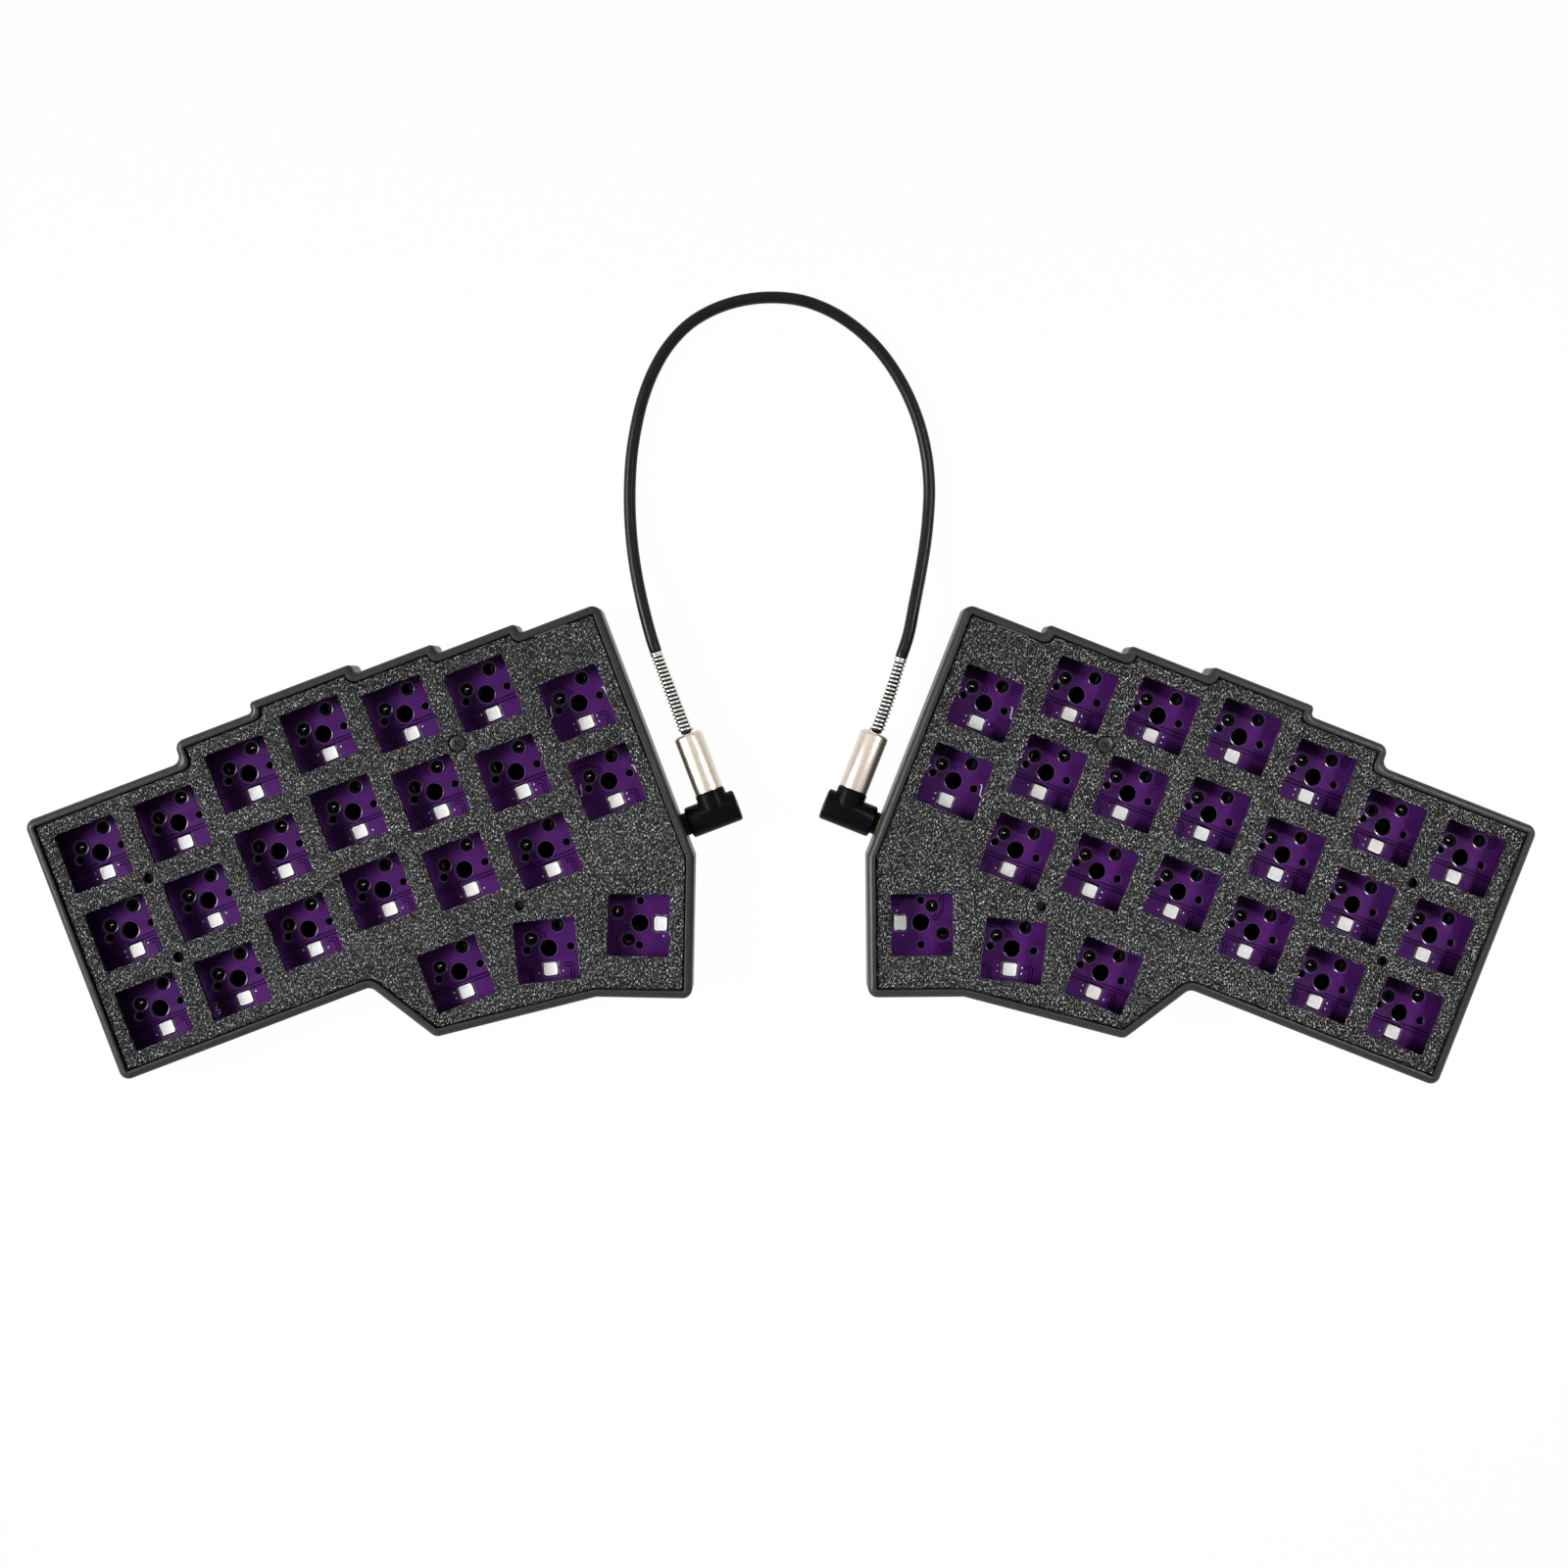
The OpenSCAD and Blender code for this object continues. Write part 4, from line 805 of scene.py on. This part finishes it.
def make_coil(side):
    """The spring's wire, drawn unrolled as (way round, height) and then wound; its far end is closed."""
    turns, l = TURNS[side], coil_length(side)
    e, w = ENTRY, WIRE
    flat = [(0, 0), (0, w / 2)] + [(w * (1 - math.cos(a)), w + w * math.sin(a)) for a in np.radians(range(0, 80, 13))]
    flat += [(e[0] + TURN_L * k / TURN_STEPS, e[1] + COIL_PITCH * k / TURN_STEPS)
             for k in range(turns * TURN_STEPS + 1)]
    flat += [(e[0] + TURN_L * (turns + END_TURNS * t), l - e[1] + (e[1] - w / 2) * t)
             for t in np.linspace(0, 1, END_STEPS + 1)[1:]]
    r0, r1 = (COIL_D - w) / 2, (COIL_END_D - w) / 2
    path, dirs = [], []
    for x, y in flat:
        a = 2 * math.pi * x / TURN_L
        d = np.array([math.cos(a), 0, math.sin(a)])
        path.append(seated(side, coil_axis(side, y) + (r0 + (r1 - r0) * y / l) * d))
        dirs.append(d)
    v, f = tube(path, [w / 2] * len(path), dirs, 8)
    h = Heap()
    h.add(v, f)
    ob = h.object(side + "_coil_spring", side, [M["spring"]])
    shade(ob, 50)
    return ob


plug_pieces = []
for side in SIDES:
    half, plug = side + "_half", side + "_plug"
    for piece, node, slot, body in (
            (make_case(side), "case", "case_plastic", half), (make_plate(side), "plate", "plate_black", half),
            (make_board(side), "board", "board_violet", half), (make_lamps(side), "lamps", "lamp_white", half),
            (make_screw(side), "plate_screw", "screw_steel", half), (make_feet(side), "feet", "foot_rubber", half),
            (make_elbow(side), "plug_elbow", "elbow_black", plug),
            (make_sleeve(side), "plug_sleeve", "sleeve_metal", plug),
            (make_coil(side), "strain_relief", "spring_metal", plug)):
        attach(piece, body)
        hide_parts(side + "_" + node)
        if body == plug:
            plug_pieces.append(piece)
    traces = make_traces(side)
    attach(traces, half)
    plug_pieces += [nodes[side + "_plug_pin"], nodes[side + "_plug_bands"]]

# CAD nodes that stay get their finish
CARRIED = {
    # the contact finish given to socket_contacts is dark as painted shade
    "sockets": "black", "socket_contacts": "contact", "diodes": "chip", "controller_chip": "chip",
    "memory_chip": "chip", "crystal": "tin", "regulator": "chip", "capacitors": "ceramic", "port_shell": "tin",
    "port_tongue": "black", "reset_switch": "tin", "reset_button": "black", "boot_switch": "tin",
    "boot_button": "black", "jack": "black", "jack_contacts": "tin",
    "standoffs": "black", "base_screws": "screw", "plug_pin": "gold", "plug_bands": "black",
}
for side in SIDES:
    for node, m in CARRIED.items():
        me = nodes[side + "_" + node].data
        me.materials.clear()
        me.materials.append(M[m])

# Floor, lights and world
FLOOR_HALF, FLOOR_DROP, FLOOR_WHITE = 3, 0.0002, 0.985
WORLD_DIFFUSE, WORLD_GLOSSY = 0.03, 0.72
floor = mesh_object("floor", [(FLOOR_HALF * x, FLOOR_HALF * y, -FLOOR_DROP)
                              for x, y in ((-1, -1), (1, -1), (1, 1), (-1, 1))], [(0, 1, 2, 3)])
fm = new_material("floor_white")
nt = fm.node_tree
rays = add_node(nt, "LightPath").outputs
seen = add_node(nt, "Math", links={0: rays["Is Camera Ray"], 1: rays["Is Glossy Ray"]})
seen.operation = "MAXIMUM"
part = add_node(nt, "Math", {1: FLOOR_WHITE}, {0: seen.outputs[0]})
part.operation = "MULTIPLY"
diff = add_node(nt, "BsdfDiffuse", {"Color": (0.9, 0.9, 0.9, 1)})
emit = add_node(nt, "Emission", {"Color": (1, 1, 1, 1)})
mix = add_node(nt, "MixShader", links={0: part.outputs[0], 1: diff.outputs[0], 2: emit.outputs[0]})
add_node(nt, "OutputMaterial", links={"Surface": mix.outputs[0]})
floor.data.materials.append(fm)


def softbox(name, at, to, w, h, power, spread, color):
    """A rectangular lamp at one point, aimed at another."""
    la = bpy.data.lights.new(name, "AREA")
    la.shape, la.size, la.size_y, la.energy, la.spread = "RECTANGLE", w, h, power, math.radians(spread)
    la.color = color
    ob = bpy.data.objects.new(name, la)
    ob.location = at
    d = np.array(to, float) - np.array(at, float)
    ob.rotation_euler = Vector(d).to_track_quat("-Z", "Y").to_euler()
    bpy.context.scene.collection.objects.link(ob)


softbox("left_box", (-0.59, 0.02, 0.393), (-0.112, -0.02, 0.012), 0.30, 0.27, 0.455, 36, (0.97, 0.985, 1.0))
softbox("cross_box", (-0.429, -0.2, 0.345), (0.1, -0.008, 0.012), 0.20, 0.20, 0.05, 20, (0.98, 0.99, 1.0))
softbox("right_box", (0.573, 0.178, 0.579), (0.135, -0.012, 0.012), 0.20, 0.20, 0.118, 19, (1.0, 1.0, 0.975))
softbox("top_box", (0.0, 0.55, 0.9), (0.0, 0.0, 0.0), 0.9, 0.4, 0.35, 160, (1.0, 1.0, 1.0))
world = bpy.data.worlds.new("studio")
bpy.context.scene.world = world
world.use_nodes = True
nt = world.node_tree
rays = add_node(nt, "LightPath").outputs
level = add_node(nt, "MapRange", {"To Min": WORLD_DIFFUSE, "To Max": WORLD_GLOSSY}, {"Value": rays["Is Glossy Ray"]})
white = add_node(nt, "Math", links={0: level.outputs[0], 1: rays["Is Camera Ray"]})
white.operation = "MAXIMUM"
bg = next(n for n in nt.nodes if n.type == "BACKGROUND")
bg.inputs["Color"].default_value = (0.98, 0.98, 1.0, 1)
nt.links.new(white.outputs[0], bg.inputs["Strength"])
bpy.context.scene.view_settings.view_transform = "Standard"
